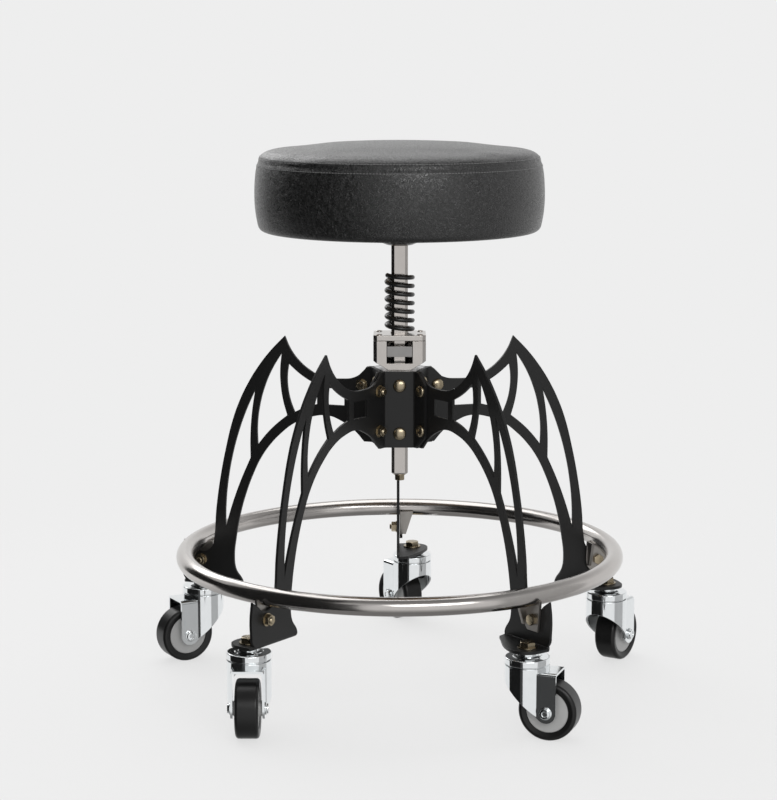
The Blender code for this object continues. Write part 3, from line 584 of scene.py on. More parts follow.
# %% Ring tabs and bolts
TAB_T = 4 * MM
TAB_WIDTH = 29 * MM
TAB_SLANT = 4.5 * MM  # the leaf's lower edge is shorter by this at each end
WING_START, WING_FOOT, WING_END = 2.2 * MM, 9.2 * MM, 20 * MM  # distances from the leg
BOLT_DROP = 30 * MM
HOLE_R = 4.3 * MM
HOLE_STEPS = 12
RING_WASHER_T = 1.6 * MM
RING_NUT_H = 6.5 * MM
RING_NUT_ACROSS = 15 * MM
tab_in = RING_R - 15.5 * MM
tab_top, tab_heel, tab_low = RING_Z - 4 * MM, RING_Z - 38 * MM, RING_Z - 45 * MM
hole = []
for i in range(HOLE_STEPS):
    angle = math.tau * i / HOLE_STEPS
    hole.append((RING_R + HOLE_R * math.cos(angle), RING_Z - BOLT_DROP + HOLE_R * math.sin(angle)))
leaf = sheet([[
    (tab_in, tab_top), (tab_in + TAB_WIDTH, tab_top), (tab_in + TAB_WIDTH - TAB_SLANT, tab_low),
    (tab_in + TAB_SLANT, tab_low), (tab_in, tab_heel),
], hole], TAB_T)
wing = sheet([[
    (-WING_START, tab_top), (-WING_START, tab_heel), (-WING_FOOT, tab_heel + 0.3 * MM),
    (-WING_END, tab_top),
]], TAB_T)
to_leaf = shift(y=-PLATE_GAP - TAB_T / 2) @ turn(math.radians(90), "X")
to_wing = Matrix(((0, 0, 1, tab_in + TAB_T / 2), (1, 0, 0, 0), (0, 1, 0, 0), (0, 0, 0, 1)))
ring_head = hexagon(RING_NUT_ACROSS, 5.5 * MM)
ring_stack = [(washer(8.5 * MM, RING_WASHER_T), 0), (hexagon(RING_NUT_ACROSS, RING_NUT_H), RING_WASHER_T),
              (stud(BOLT_R, 2.5 * MM), RING_WASHER_T + RING_NUT_H)]
tab_shapes, bolt_shapes = [], []
for i in range(len(SIDES)):
    spin = turn(FIRST_LEG + i * LEG_STEP)
    tab_shapes += [(leaf, spin @ to_leaf), (wing, spin @ to_wing)]
    bolt_shapes += clamped(spin @ shift(x=RING_R, z=RING_Z - BOLT_DROP), ring_head, ring_stack)
tab_piece = fit("ring_tabs", tab_shapes, "polished_steel", "base", "foot_ring")
fit("ring_bolts", bolt_shapes, "yellow_zinc", "base", *[f"ring_bolt_{side}" for side in SIDES])
print("ring tabs:", len(SIDES))

# %% [markdown]
# A caster fork is pressed from one plate of zinc plated steel. Seen from above it is round in front and
# straight at the sides, and its sides end in a round lobe at the axle. The joints of the engineering
# model tell where each caster stands and how it trails, so those places are read and not typed in.

# %% Fork's plan
FORK_R = 28.3 * MM
FORK_WALL = 3 * MM
FORK_HALF = 21.5 * MM
FORK_TOP = FOOT_Z - 6.8 * MM
YOKE_TOP = FORK_TOP - 10.2 * MM
REAR_TOP = FORK_TOP - 14.5 * MM
SHROUD_LOW = FORK_TOP - 27 * MM
LOBE_R = 13 * MM


def caster(side):
    """Swivel axis and wheel centre of a caster, and the bearing from the first to the second."""
    swivel = Vector(joints[f"caster_swivel_{side}"]["pos_m"])
    hub = Vector(joints[f"wheel_roll_{side}"]["pos_m"])
    return swivel, hub, math.atan2(hub.y - swivel.y, hub.x - swivel.x)


swivel, hub, bearing = caster("rear")
TRAIL = (hub - swivel).to_2d().length
WHEEL_R = hub.z
LOBE_START = TRAIL - LOBE_R * math.sqrt(0.5)
LOBE_LOW = WHEEL_R - LOBE_R * math.sqrt(0.5)
crease = math.asin(FORK_HALF / FORK_R)  # where the round front meets the straight sides


def fork_low(x):
    """Lower edge of the fork at a distance behind its swivel axis."""
    if x < LOBE_START:
        share = (x + FORK_R) / (LOBE_START + FORK_R)
        return SHROUD_LOW + share * (LOBE_LOW - SHROUD_LOW)
    return WHEEL_R - math.sqrt(max(0, LOBE_R ** 2 - (x - TRAIL) ** 2))


print("fork's plan: trail", round(TRAIL / MM, 1), "mm")

# %% [markdown]
# The front is a strip round an arc, and the rear is a skin through sections of a channel. The sections
# crowd together towards the lobe, where the lower edge turns up steeply, so that it comes out round.

# %% Fork plates
ARC_STEPS, CHANNEL_STEPS = 48, 32
shroud_line = []
for i in range(ARC_STEPS + 1):
    angle = crease + (math.tau - 2 * crease) * i / ARC_STEPS
    shroud_line.append(Vector((math.cos(angle), math.sin(angle))) * (FORK_R - FORK_WALL / 2))
shroud_lows = [fork_low(spot.x) for spot in shroud_line]
shroud = strip(shroud_line, shroud_lows, [YOKE_TOP] * len(shroud_line), FORK_WALL, 0.8 * MM)
channel_rings = []
channel_in = FORK_R * math.cos(crease) - FORK_WALL
outer, inner, under_z = FORK_HALF, FORK_HALF - FORK_WALL, REAR_TOP - FORK_WALL
for i in range(CHANNEL_STEPS + 1):
    x = channel_in + (TRAIL + LOBE_R - channel_in) * math.sin(math.pi / 2 * i / CHANNEL_STEPS)
    low = fork_low(x)
    over = rounded([(-outer, low), (-outer, REAR_TOP), (outer, REAR_TOP), (outer, low)], 5 * MM)
    under = rounded([(inner, low), (inner, under_z), (-inner, under_z), (-inner, low)], 2.5 * MM)
    channel_rings.append([(x, point.x, point.y) for point in over + under])
channel = skin(channel_rings)
print("fork plates:", len(shroud_line), "steps round the front")

# %% [markdown]
# On top of each fork sits its bearing cap, a turned disc with a groove under it, and a collar that spaces
# it from the leg's foot. One profile, followed from the bolt's bore outwards and back, gives all of it.

# %% Bearing caps and forks
KING_BORE_R = 6.4 * MM
COLLAR_R = 13.5 * MM
CUP_BORE_R = 12 * MM
GROOVE = 1.8 * MM
collar_top, bore_low, cup_low = FOOT_Z - 0.3 * MM, FORK_TOP - 3 * MM, REAR_TOP - 2 * MM
collar = rounded([
    (KING_BORE_R, bore_low), (KING_BORE_R, collar_top), (COLLAR_R, collar_top),
    (COLLAR_R, FORK_TOP + 1.6 * MM), (17.5 * MM, FORK_TOP + 1.2 * MM), (18.5 * MM, FORK_TOP),
], 0.6 * MM)
disc = rounded([
    (19 * MM, FORK_TOP), (FORK_R, FORK_TOP), (FORK_R, YOKE_TOP + 1.5 * MM),
    (FORK_R - GROOVE, YOKE_TOP + 1.2 * MM),
], 1.6 * MM)
cup = rounded([
    (FORK_R - GROOVE, YOKE_TOP), (FORK_R - 0.2 * MM, YOKE_TOP), (FORK_R - 0.2 * MM, cup_low),
    (FORK_R - FORK_WALL, cup_low),
], 1 * MM)
cap = turned(collar + disc + cup + [(CUP_BORE_R, cup_low), (CUP_BORE_R, bore_low)], 96, loop=True)
for side in SIDES:
    swivel, hub, bearing = caster(side)
    place = shift(swivel.x, swivel.y) @ turn(bearing)
    shapes = [(shroud, place), (channel, place), (cap, place)]
    fit(f"fork_shell_{side}", shapes, "bright_zinc", f"caster_{side}", f"fork_{side}")
print("forks:", len(SIDES), "with caps", round(2 * FORK_R / MM, 1), "mm across")

# %% [markdown]
# The wheel is a nylon core in a rubber tyre. Both are turned. The tyre's shoulders are round, and the
# core's face lies a little inside its rim, so that a thin shadow separates the two.

# %% Tyre and core
TYRE_HALF, TREAD_HALF, BEAD_HALF = 15.5 * MM, 12.5 * MM, 13.5 * MM
SHOULDER = 3.5 * MM
RIM_R = 27 * MM
bead_r = RIM_R + 0.2 * MM
tyre = turned(rounded([
    (bead_r, -BEAD_HALF), (WHEEL_R - SHOULDER, -TYRE_HALF), (WHEEL_R, -TREAD_HALF),
    (WHEEL_R, TREAD_HALF), (WHEEL_R - SHOULDER, TYRE_HALF), (bead_r, BEAD_HALF),
], 4 * MM, 6), 96, loop=True)
BOSS_HALF = 18.2 * MM
half_core = rounded([
    (4.3 * MM, BOSS_HALF), (9.5 * MM, BOSS_HALF), (10.5 * MM, 13.1 * MM), (RIM_R - 1 * MM, 12.9 * MM),
    (RIM_R, 12.4 * MM),
], 0.8 * MM)
core = turned(half_core + [Vector((p.x, -p.y)) for p in reversed(half_core)], 96, loop=True)
print("wheels:", round(2 * WHEEL_R / MM), "mm")

# %% [markdown]
# Each fork also holds an axle with its two heads, and hangs from the leg's foot by one large bolt. The
# bolts belong to the frame and the axles to the forks, so they become different pieces.

# %% Axles and mounting bolts
AXLE_R = 4 * MM
KING_R = 6 * MM
KING_ACROSS = 20.8 * MM
KING_WASHER_T = 1.6 * MM
king_low, king_top, foot_top = FORK_TOP - 12 * MM, FOOT_Z + 5 * MM, FOOT_Z + PLATE_T
axle_head = turned(rounded([
    (0, 0), (8 * MM, 0), (8 * MM, 1.6 * MM), (6.6 * MM, 2.2 * MM), (6.2 * MM, 4.2 * MM),
    (3.6 * MM, 4.5 * MM), (3 * MM, 3.6 * MM), (0, 3.6 * MM),
], 0.5 * MM), 48)
pin = turned([(0, -FORK_HALF), (AXLE_R, -FORK_HALF), (AXLE_R, FORK_HALF), (0, FORK_HALF)], 32)
king_stack = [
    (washer(12.5 * MM, KING_WASHER_T), foot_top),
    (hexagon(KING_ACROSS, 6.4 * MM), foot_top + KING_WASHER_T),
    (turned([(0, king_low), (KING_R, king_low), (KING_R, king_top), (0, king_top)], 32), 0),
    (hexagon(KING_ACROSS, 9 * MM), king_low - 0.3 * MM),
]
king_shapes = []
for side in SIDES:
    swivel, hub, bearing = caster(side)
    across = Matrix.Translation(hub) @ turn(bearing) @ turn(math.radians(-90), "X")
    fit(f"wheel_tyre_{side}", [(tyre, across)], "black_rubber", f"wheel_{side}", f"tyre_{side}")
    fit(f"wheel_disc_{side}", [(core, across)], "grey_nylon", f"wheel_{side}", f"wheel_core_{side}")
    heads = [(axle_head, across @ shift(z=FORK_HALF)),
             (axle_head, across @ turn(math.pi, "X") @ shift(z=FORK_HALF)), (pin, across)]
    fit(f"axle_bolt_{side}", heads, "bright_zinc", f"caster_{side}", f"axle_{side}")
    king_shapes += [(mesh, shift(swivel.x, swivel.y, height)) for mesh, height in king_stack]
fit("caster_bolts", king_shapes, "yellow_zinc", "base", *[f"caster_bolt_{side}" for side in SIDES])
print("axles and mounting bolts:", len(SIDES), "of each")

# %% [markdown]
# Some parts are machined blocks, and for these the engineering shape itself is exactly right, once its
# edges are broken as a machinist would. A bevel does that on a copy. It only takes edges that bend by
# more than thirty degrees, so that round surfaces are left alone.

# %% Eased copies
EASE_STEPS = 3
EASE_FROM = math.radians(30)


def eased(node, width):
    """Copy of a CAD node's mesh whose edges are rounded off."""
    bm = bmesh.new()
    bm.from_mesh(frame["nodes"][node].data)
    bmesh.ops.remove_doubles(bm, verts=bm.verts, dist=0.01 * MM)
    bmesh.ops.dissolve_limit(bm, angle_limit=math.radians(1), verts=bm.verts, edges=bm.edges)
    holder = added("holder", cleaned(bm))
    bevel = holder.modifiers.new("ease", "BEVEL")
    bevel.width = width
    bevel.segments = EASE_STEPS
    bevel.limit_method = "ANGLE"
    bevel.angle_limit = EASE_FROM
    bevel.use_clamp_overlap = True
    return applied(holder)


print("eased copies ready")

# %% [markdown]
# The square post slides through the hub and is gripped by the lock: a steel block with a finger window in
# front, a cap with four button screws, and a dark plate that tilts on a pin and bites the post. All of
# them are machined, so they are eased copies. The bolt in the post's lower end is drawn afresh.

# %% Post and lock
SCREW_R, SCREW_H, SCREW_IN = 4.2 * MM, 1.4 * MM, 7.5 * MM
END_WASHER_R, END_WASHER_T = 8.4 * MM, 1.4 * MM
cap_low, cap_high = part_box("lock_cap")
fit("post_bar", [(eased("post", 0.5 * MM), HERE)], "satin_steel", "post", "post")
block_piece = fit("lock_body", [(eased("lock_block", 0.9 * MM), HERE)], "satin_steel", "base", "lock_block")
fit("lock_lid", [(eased("lock_cap", 0.8 * MM), HERE)], "satin_steel", "base", "lock_cap")
fit("lock_lever", [(eased("lock_plate", 0.6 * MM), HERE)], "dark_steel", "lock_plate", "lock_plate")
screw = button(SCREW_R, SCREW_H)
screws = []
for x in (cap_low.x + SCREW_IN, cap_high.x - SCREW_IN):
    for y in (cap_low.y + SCREW_IN, cap_high.y - SCREW_IN):
        screws.append((screw, shift(x, y, cap_high.z)))
fit("cap_screws", screws, "satin_steel", "base")
end_low, end_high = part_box("post_end_bolt")
post_low, post_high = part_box("post")
end_head = hexagon(end_high.x - end_low.x, post_low.z - end_low.z - END_WASHER_T)
under = shift(z=post_low.z) @ turn(math.pi, "X")
end_shapes = [(washer(END_WASHER_R, END_WASHER_T), under), (end_head, under @ shift(z=END_WASHER_T))]
fit("post_bolt", end_shapes, "yellow_zinc", "post", "post_end_bolt")
print("post:", round((post_high.z - post_low.z) / MM), "mm long")

# %% [markdown]
# A coil spring stands on the lock and takes the bump when the seat is let right down. It is one wire, so
# it is one curve: closer turns at both ends, an even pitch between them, swept by a round section.

# %% Bump spring
spring_low, spring_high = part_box("bump_spring")
WIRE_R = 3.1 * MM
COIL_R = 17.1 * MM
TURNS = 6.75
END_TURNS = 0.4
TOP_END = math.radians(200)
PER_TURN = 40
WIRE_STEPS = 16
end_pitch = 2 * WIRE_R + 0.8 * MM
climb = spring_high.z - spring_low.z - 2 * WIRE_R
pitch = (climb - 2 * END_TURNS * end_pitch) / (TURNS - 2 * END_TURNS)
rings = []
for i in range(round(TURNS * PER_TURN) + 1):
    done = i / PER_TURN
    close = min(done, END_TURNS) + max(done - TURNS + END_TURNS, 0)
    height = spring_low.z + WIRE_R + close * end_pitch + (done - close) * pitch
    angle = TOP_END + (TURNS - done) * math.tau
    out = Vector((math.cos(angle), math.sin(angle), 0))
    centre = out * COIL_R + Vector((0, 0, height))
    ring = []
    for k in range(WIRE_STEPS):
        around = math.tau * k / WIRE_STEPS
        ring.append(centre + out * WIRE_R * math.cos(around) + Vector((0, 0, WIRE_R * math.sin(around))))
    rings.append(ring)
fit("spring_coil", [(skin(rings), HERE)], "black_enamel", "base", "bump_spring")
print("spring:", TURNS, "turns")

# %% [markdown]
# Under the seat a dished housing holds the swivel bearing, and four screws fix its flange to the board.
# It is round, so one profile gives it, followed from the post's socket outwards and back to the axis.

# %% Swivel housing
SOCKET_R = 13.8 * MM
DISH_R = 70 * MM
SCREW_CIRCLE_R = 58 * MM
house_low, house_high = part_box("swivel_housing")
HOUSE_Z = house_low.z
socket_top, flange_low, flange_top = HOUSE_Z + 13.6 * MM, HOUSE_Z + 16 * MM, HOUSE_Z + 20 * MM
house = turned(rounded([
    (SOCKET_R, socket_top), (SOCKET_R, HOUSE_Z + 0.6 * MM), (17 * MM, HOUSE_Z),
    (25 * MM, HOUSE_Z + 3.2 * MM), (29 * MM, HOUSE_Z + 9.6 * MM), (30 * MM, flange_low),
    (DISH_R, flange_low), (DISH_R, flange_top), (0, flange_top), (0, socket_top), (SOCKET_R, socket_top),
], 1.5 * MM), 96)
fit("swivel_dish", [(house, HERE)], "black_enamel", "seat", "swivel_housing")
seat_screw = button(4.5 * MM, 2.6 * MM)
screws = []
for i in range(4):
    angle = math.radians(45 + 90 * i)
    spot = Vector((SCREW_CIRCLE_R * math.cos(angle), SCREW_CIRCLE_R * math.sin(angle), flange_low))
    screws.append((seat_screw, towards(spot, (0, 0, -1))))
fit("seat_screws", screws, "bright_zinc", "seat")
print("housing:", round((house_high.x - house_low.x) / MM), "mm across")

# %% [markdown]
# The cushion is sewn from a round top panel and a side band, drawn down over foam. The cover starts as
# these two cut pieces, a little smaller than the finished seat. The panel is a square grid pressed into a
# circle: its cells stay about equal, so that cloth behaves alike all over it.

# %% Cushion panel
PANEL_STEPS = 80
CROWN_SWELL = 4 * MM  # the panel starts this far below its finished crown
DOME, EDGE = 0.55, 0.45  # shares of its fall that are spread over it, and that lie at its edge
EDGE_POWER = 30
seat_low, seat_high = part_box("seat_cushion")
SEAT_R = (seat_high.x - seat_low.x) / 2
SEAM_Z = seat_high.z - 22.3 * MM
panel_r = SEAT_R - 6.4 * MM


def panel_height(radius):
    """Height of the top panel before it swells: nearly flat, falling to the seam at its edge."""
    share = radius / panel_r
    fall = 1 - DOME * share ** 2 - EDGE * share ** EDGE_POWER
    return SEAM_Z + (seat_high.z - CROWN_SWELL - SEAM_Z) * fall


bm = bmesh.new()
grid = {}
for i in range(PANEL_STEPS + 1):
    for k in range(PANEL_STEPS + 1):
        u, v = 2 * i / PANEL_STEPS - 1, 2 * k / PANEL_STEPS - 1
        x, y = u * math.sqrt(1 - v * v / 2) * panel_r, v * math.sqrt(1 - u * u / 2) * panel_r
        grid[i, k] = bm.verts.new((x, y, panel_height(math.hypot(x, y))))
for i in range(PANEL_STEPS):
    for k in range(PANEL_STEPS):
        bm.faces.new((grid[i, k], grid[i + 1, k], grid[i + 1, k + 1], grid[i, k + 1]))
rim = [grid[i, 0] for i in range(PANEL_STEPS)] + [grid[PANEL_STEPS, k] for k in range(PANEL_STEPS)]
rim += [grid[i, PANEL_STEPS] for i in range(PANEL_STEPS, 0, -1)]
rim += [grid[0, k] for k in range(PANEL_STEPS, 0, -1)]
print("cushion panel:", len(grid), "points")

# %% [markdown]
# The band hangs from the panel's edge. It bellies out, tapers a little towards the bottom, and its hem is
# turned under to the board. It is built down from the edge in rows that have a point under each point
# of the panel's edge, so that the two pieces are already sewn together.

# %% Cushion band
SWELL = 2.5 * MM  # the band starts this far inside its finished shape
BELLY_Z = seat_low.z + 48 * MM
TAPER = 2.5 * MM
HEM_R = 8 * MM
HEM_DROP = 1.4 * MM  # the hem is drawn this far under the board's face
UPPER_ROWS, LOWER_ROWS, HEM_ROWS = 12, 8, 5
board_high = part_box("seat_board")[1]
belly_r = SEAT_R - SWELL
cover_low = seat_low.z - HEM_DROP
hem_in = board_high.x + 0.6 * MM
band = []
for i in range(1, UPPER_ROWS + 1):
    up = 1 - i / UPPER_ROWS
    band.append((belly_r - (belly_r - panel_r) * up ** 2, BELLY_Z + (SEAM_Z - BELLY_Z) * up))
for i in range(1, LOWER_ROWS + 1):
    down = i / LOWER_ROWS
    band.append((belly_r - TAPER * down ** 2, BELLY_Z + (cover_low + HEM_R - BELLY_Z) * down))
for i in range(1, HEM_ROWS + 1):
    angle = math.pi / 2 * i / HEM_ROWS
    band.append((belly_r - TAPER - HEM_R * (1 - math.cos(angle)),
                 cover_low + HEM_R * (1 - math.sin(angle))))
band += [(hem_in, cover_low), (hem_in, board_high.z)]
last = rim
for reach, height in band:
    row = []
    for point in rim:
        way = point.co.to_2d().normalized() * reach
        row.append(bm.verts.new((way.x, way.y, height)))
    for i in range(len(rim)):
        bm.faces.new((last[i - 1], last[i], row[i], row[i - 1]))
    last = row
cover = added("seat_cover", cleaned(bm))
print("cushion band:", len(band), "rows")

# %% [markdown]
# A cloth simulation now blows the cover up from inside, as the foam would. The seam and the hem are
# pinned, so the cover swells between them and pulls in where it is sewn. Foam fills the small folds, so
# each point's move is evened out with those of its neighbours before it is kept.

# %% Cushion swelling
FOAM_HOLD = 0.1  # how firmly the foam holds the cover in place, where 1 is pinned
SLACK = 0.015  # the cover is cut this much too large
PRESSURE = 4
CLOTH_FRAMES = 20
CAP_MOVE = 6 * MM  # no point moves further than this
FOAM_EVEN = 24  # rounds of evening out
start = [vertex.co.copy() for vertex in cover.data.vertices]
pinned = cover.vertex_groups.new(name="pinned")
for index, point in enumerate(start):
    sewn = abs(point.z - SEAM_Z) < 0.5 * MM and point.to_2d().length > panel_r - 1 * MM
    hemmed = point.z < seat_low.z + 5 * MM
    pinned.add([index], 1.0 if sewn or hemmed else FOAM_HOLD, "REPLACE")
cloth = cover.modifiers.new("swell", "CLOTH")
cloth.settings.use_pressure = True
cloth.settings.uniform_pressure_force = PRESSURE
cloth.settings.vertex_group_mass = "pinned"
cloth.settings.effector_weights.gravity = 0
cloth.settings.mass = 0.4
cloth.settings.shrink_min = -SLACK
cloth.settings.quality = 6
for number in range(1, CLOTH_FRAMES + 1):
    bpy.context.scene.frame_set(number)
graph = bpy.context.evaluated_depsgraph_get()
swollen = [vertex.co.copy() for vertex in cover.evaluated_get(graph).data.vertices]
cover.modifiers.remove(cloth)
moves = []
for old, new in zip(start, swollen):
    moves.append((new - old).normalized() * min((new - old).length, CAP_MOVE))
ties = [[] for point in start]
for edge in cover.data.edges:
    one, two = edge.vertices
    ties[one].append(two)
    ties[two].append(one)
for _ in range(FOAM_EVEN):
    evened = []
    for i, tie in enumerate(ties):
        around = sum((moves[k] for k in tie), Vector())
        evened.append(0.5 * moves[i] + 0.5 * around / len(tie))
    moves = evened
for vertex, move in zip(cover.data.vertices, moves):
    vertex.co += move
bpy.context.scene.frame_set(1)
top = max(vertex.co.z for vertex in cover.data.vertices)
reach = max(vertex.co.to_2d().length for vertex in cover.data.vertices)
print("cushion: top", round(top / MM, 1), "of", round(seat_high.z / MM, 1),
      "reach", round(reach / MM, 1), "of", round(SEAT_R / MM, 1))

# %% [markdown]
# Where panel and band meet, the thread draws the vinyl into a groove, with small puckers on both sides.
# The mesh is made finer first. Each point near the seam is then pushed in, less and less with its
# distance from the groove, and a little unevenly, as hand-guided sewing is.

# %% Cushion seam
GROOVE_Z = SEAM_Z - 2.6 * MM
GROOVE_DEPTH, GROOVE_WIDTH = 2.0 * MM, 3.2 * MM
PUCKER_DEPTH, PUCKER_WIDTH = 0.3 * MM, 11 * MM
PUCKERS = 14  # how finely the puckers follow each other round the seat
smooth = cover.modifiers.new("smooth", "SUBSURF")
smooth.levels = 1
smooth.render_levels = 1
cover_mesh = applied(cover)
for vertex in cover_mesh.vertices:
    way = vertex.co.to_2d()
    if vertex.co.z > seat_low.z + 30 * MM and way.length > 100 * MM:
        off = math.hypot(way.length - panel_r, vertex.co.z - GROOVE_Z)
        angle = math.atan2(way.y, way.x)
        pucker = noise((PUCKERS * math.cos(angle), PUCKERS * math.sin(angle), vertex.co.z * 60))
        dent = GROOVE_DEPTH * math.exp(-(off / GROOVE_WIDTH) ** 2)
        dent += PUCKER_DEPTH * pucker * math.exp(-(off / PUCKER_WIDTH) ** 2)
        inwards = Vector((-way.x, -way.y, -0.7 * way.length)).normalized()
        vertex.co += inwards * dent
bm = bmesh.new()
bm.from_mesh(cover_mesh)
bmesh.ops.holes_fill(bm, edges=[edge for edge in bm.edges if edge.is_boundary])
bm.to_mesh(cover_mesh)
cushion = fit("cushion", [(cover_mesh, HERE)], "black_vinyl", "seat", "seat_cushion", sharp=60)
skin_tree = BVHTree.FromBMesh(bm)
bm.free()
print("seam: groove at", round(GROOVE_Z / MM, 1), "mm")

# %% [markdown]
# One row of stitches runs above the groove and one below it. Each stitch is a short thick thread with
# thin ends, laid on the vinyl where a line from outside meets it, so that it follows every pucker.

# %% Stitches
STITCH_PITCH = 4.2 * MM
STITCH_OFF = 5.6 * MM  # each row runs this far from the groove
stitch = turned([
    (0, -1.5 * MM), (0.34 * MM, -1.3 * MM), (0.45 * MM, -0.6 * MM),
    (0.45 * MM, 0.6 * MM), (0.34 * MM, 1.3 * MM), (0, 1.5 * MM),
], 8)
per_row = round(math.tau * SEAT_R / STITCH_PITCH)
stitches = []
for level in (GROOVE_Z + STITCH_OFF, GROOVE_Z - STITCH_OFF):
    for i in range(per_row):
        angle = math.tau * i / per_row
        out = Vector((math.cos(angle), math.sin(angle), 0))
        aim = out * (SEAT_R + 40 * MM) + Vector((0, 0, level))
        spot, normal = skin_tree.ray_cast(aim, -out)[:2]
        if spot is not None:
            along = Vector((-out.y, out.x, 0))
            stitches.append((stitch, towards(spot + normal * 0.1 * MM, along)))
thread_piece = fit("seat_stitches", stitches, "black_vinyl", "seat")
print("stitches:", len(stitches))

# %% [markdown]
# Finishes are written as short formulas. A wire wraps the output of a shader node, so that sums and
# products of wires add the nodes that work them out; any other node is added by name with its settings
# and inputs. Each finish varies a little over the surface, as real coats and castings do.


# %% Wires
class Wire:
    """Output of a shader node; arithmetic on it adds Math nodes, and node() adds any other kind."""

    def __init__(self, tree, socket):
        self.tree = tree
        self.socket = socket

    def node(self, kind, inputs, output=0, **settings):
        """Wire from a new node, whose inputs are wires or constants."""
        made = self.tree.nodes.new(kind)
        for name, value in settings.items():
            setattr(made, name, value)
        for name, value in inputs.items():
            if isinstance(value, Wire):
                self.tree.links.new(value.socket, made.inputs[name])
            else:
                made.inputs[name].default_value = value
        return Wire(self.tree, made.outputs[output])

    def maths(self, operation, one, two):
        """Wire from a new Math node."""
        return self.node("ShaderNodeMath", {0: one, 1: two}, operation=operation)

    def __add__(self, other):
        return self.maths("ADD", self, other)

    def __sub__(self, other):
        return self.maths("SUBTRACT", self, other)

    def __mul__(self, other):
        return self.maths("MULTIPLY", self, other)

    def __rsub__(self, other):
        return self.maths("SUBTRACT", other, self)

    __radd__ = __add__
    __rmul__ = __mul__

    def mixed(self, one, two):
        """Colour between two others, which are wires or constants, by this value."""
        ends = [end if isinstance(end, Wire) else (*end, 1) for end in (one, two)]
        return self.node("ShaderNodeMix", {0: self, 6: ends[0], 7: ends[1]}, 2, data_type="RGBA")


print("wires ready")

# %% [markdown]
# A few more tools make every finish. One starts a material, one gives noise whose size is known in metres,
# one raises bumps of a real depth, and one leads the results into the shader. Noise in object coordinates
# needs no unwrapping, and it stays in place when a joint moves.


# %% Surface tools
def grey(level):
    """Colour without a hue."""
    return (level,) * 3


def surface(name, constants):
    """New material with its shader's constants set, its object coordinates and its shader node."""
    material = bpy.data.materials.new(name)
    material.use_nodes = True
    tree = material.node_tree
    shader = tree.nodes["Principled BSDF"]
    for socket, value in constants.items():
        shader.inputs[socket].default_value = value
    coordinates = tree.nodes.new("ShaderNodeTexCoord")
    return material, Wire(tree, coordinates.outputs["Object"]), shader


def grain(place, scale, stretch=(1, 1, 1), detail=3.0):
    """Noise from 0 to 1 with features one over scale metres wide, drawn out along an axis by stretch."""
    placed = place.node("ShaderNodeVectorMath", {0: place, 1: stretch}, operation="MULTIPLY")
    return place.node("ShaderNodeTexNoise", {"Vector": placed, "Scale": scale, "Detail": detail})


def relief(shader, height, depth, strength=1.0):
    """Bumps of a real depth, in metres, on a shader's normal."""
    bump = height.node("ShaderNodeBump", {"Height": height, "Distance": depth, "Strength": strength})
    height.tree.links.new(bump.socket, shader.inputs["Normal"])


def feed(shader, wires):
    """Lead wires into the inputs of a shader."""
    for socket, wire in wires.items():
        wire.tree.links.new(wire.socket, shader.inputs[socket])


finishes = {}
print("surface tools ready")

# %% [markdown]
# Powder coat is baked plastic: nearly black, half gloss, with the faint orange peel of paint that flowed
# as it melted. The peel is under a tenth of a millimetre deep, and only shows where light grazes it. The
# function that makes it is used again for other paints and plastics.


# %% Powder coat
def coat(name, shine, dark, light, gloss, spread, patch, peel, depth, strength):
    """Finish whose colour and gloss wander in patches, over a fine relief.

    Patch and peel say how finely each varies, as the number of waves in a metre.
    """
    material, place, shader = surface(name, {"Specular IOR Level": shine})
    cloud = grain(place, patch)
    feed(shader, {"Base Color": cloud.mixed(dark, light), "Roughness": gloss + spread * cloud})
    relief(shader, grain(place, peel), depth, strength)
    finishes[name] = material


coat("black_powder_coat", 0.38, grey(0.006), grey(0.010), gloss=0.36, spread=0.12,
     patch=18, peel=900, depth=0.05 * MM, strength=0.5)
print("powder coat ready")

# %% [markdown]
# The seat's vinyl is embossed with a fine leather grain: small rounded cells with narrow valleys. A cell
# pattern gives the valleys, noise breaks up its regularity, and the valleys are a little duller.

# %% Vinyl
material, place, shader = surface("black_vinyl", {"Specular IOR Level": 0.75})
warp = place.node("ShaderNodeTexNoise", {"Vector": place, "Scale": 140.0, "Detail": 2.0}, 1)
bent = place.node("ShaderNodeMix", {0: 0.012, 4: place, 5: warp}, 1, data_type="VECTOR")
cells = place.node("ShaderNodeTexVoronoi", {"Vector": bent, "Scale": 430.0}, feature="DISTANCE_TO_EDGE")
valley = cells.node("ShaderNodeMapRange", {0: cells, 1: 0.0, 2: 0.18, 3: 0.0, 4: 1.0})
cloud = grain(place, 22, detail=5.0)
mottle = grain(place, 280, detail=4.0)
tone = 0.5 * valley + 1.6 * mottle + 0.4 * cloud - 0.95
feed(shader, {"Base Color": tone.mixed(grey(0.0006), grey(0.011)),
              "Roughness": 0.38 - 0.07 * valley - 0.08 * mottle})
relief(shader, valley + 0.4 * mottle + 0.4 * grain(place, 1500), 0.19 * MM)
finishes["black_vinyl"] = material
print("vinyl ready")

# %% [markdown]
# The thread is a dark grey against the black vinyl. Fine noise stands for the fibres that it is spun from.

# %% Thread
thread, place, shader = surface("dark_thread", {"Specular IOR Level": 0.4, "Roughness": 0.5})
feed(shader, {"Base Color": grain(place, 900).mixed(grey(0.14), grey(0.24))})
relief(shader, grain(place, 4000), 0.05 * MM)
print("thread ready")

# %% [markdown]
# Enamel on the spring and the housing is a thin, glossy paint. The rubber of the tyres has a dull sheen
# and is slightly dusty, and nylon is a milky grey. All three are coats with other numbers.

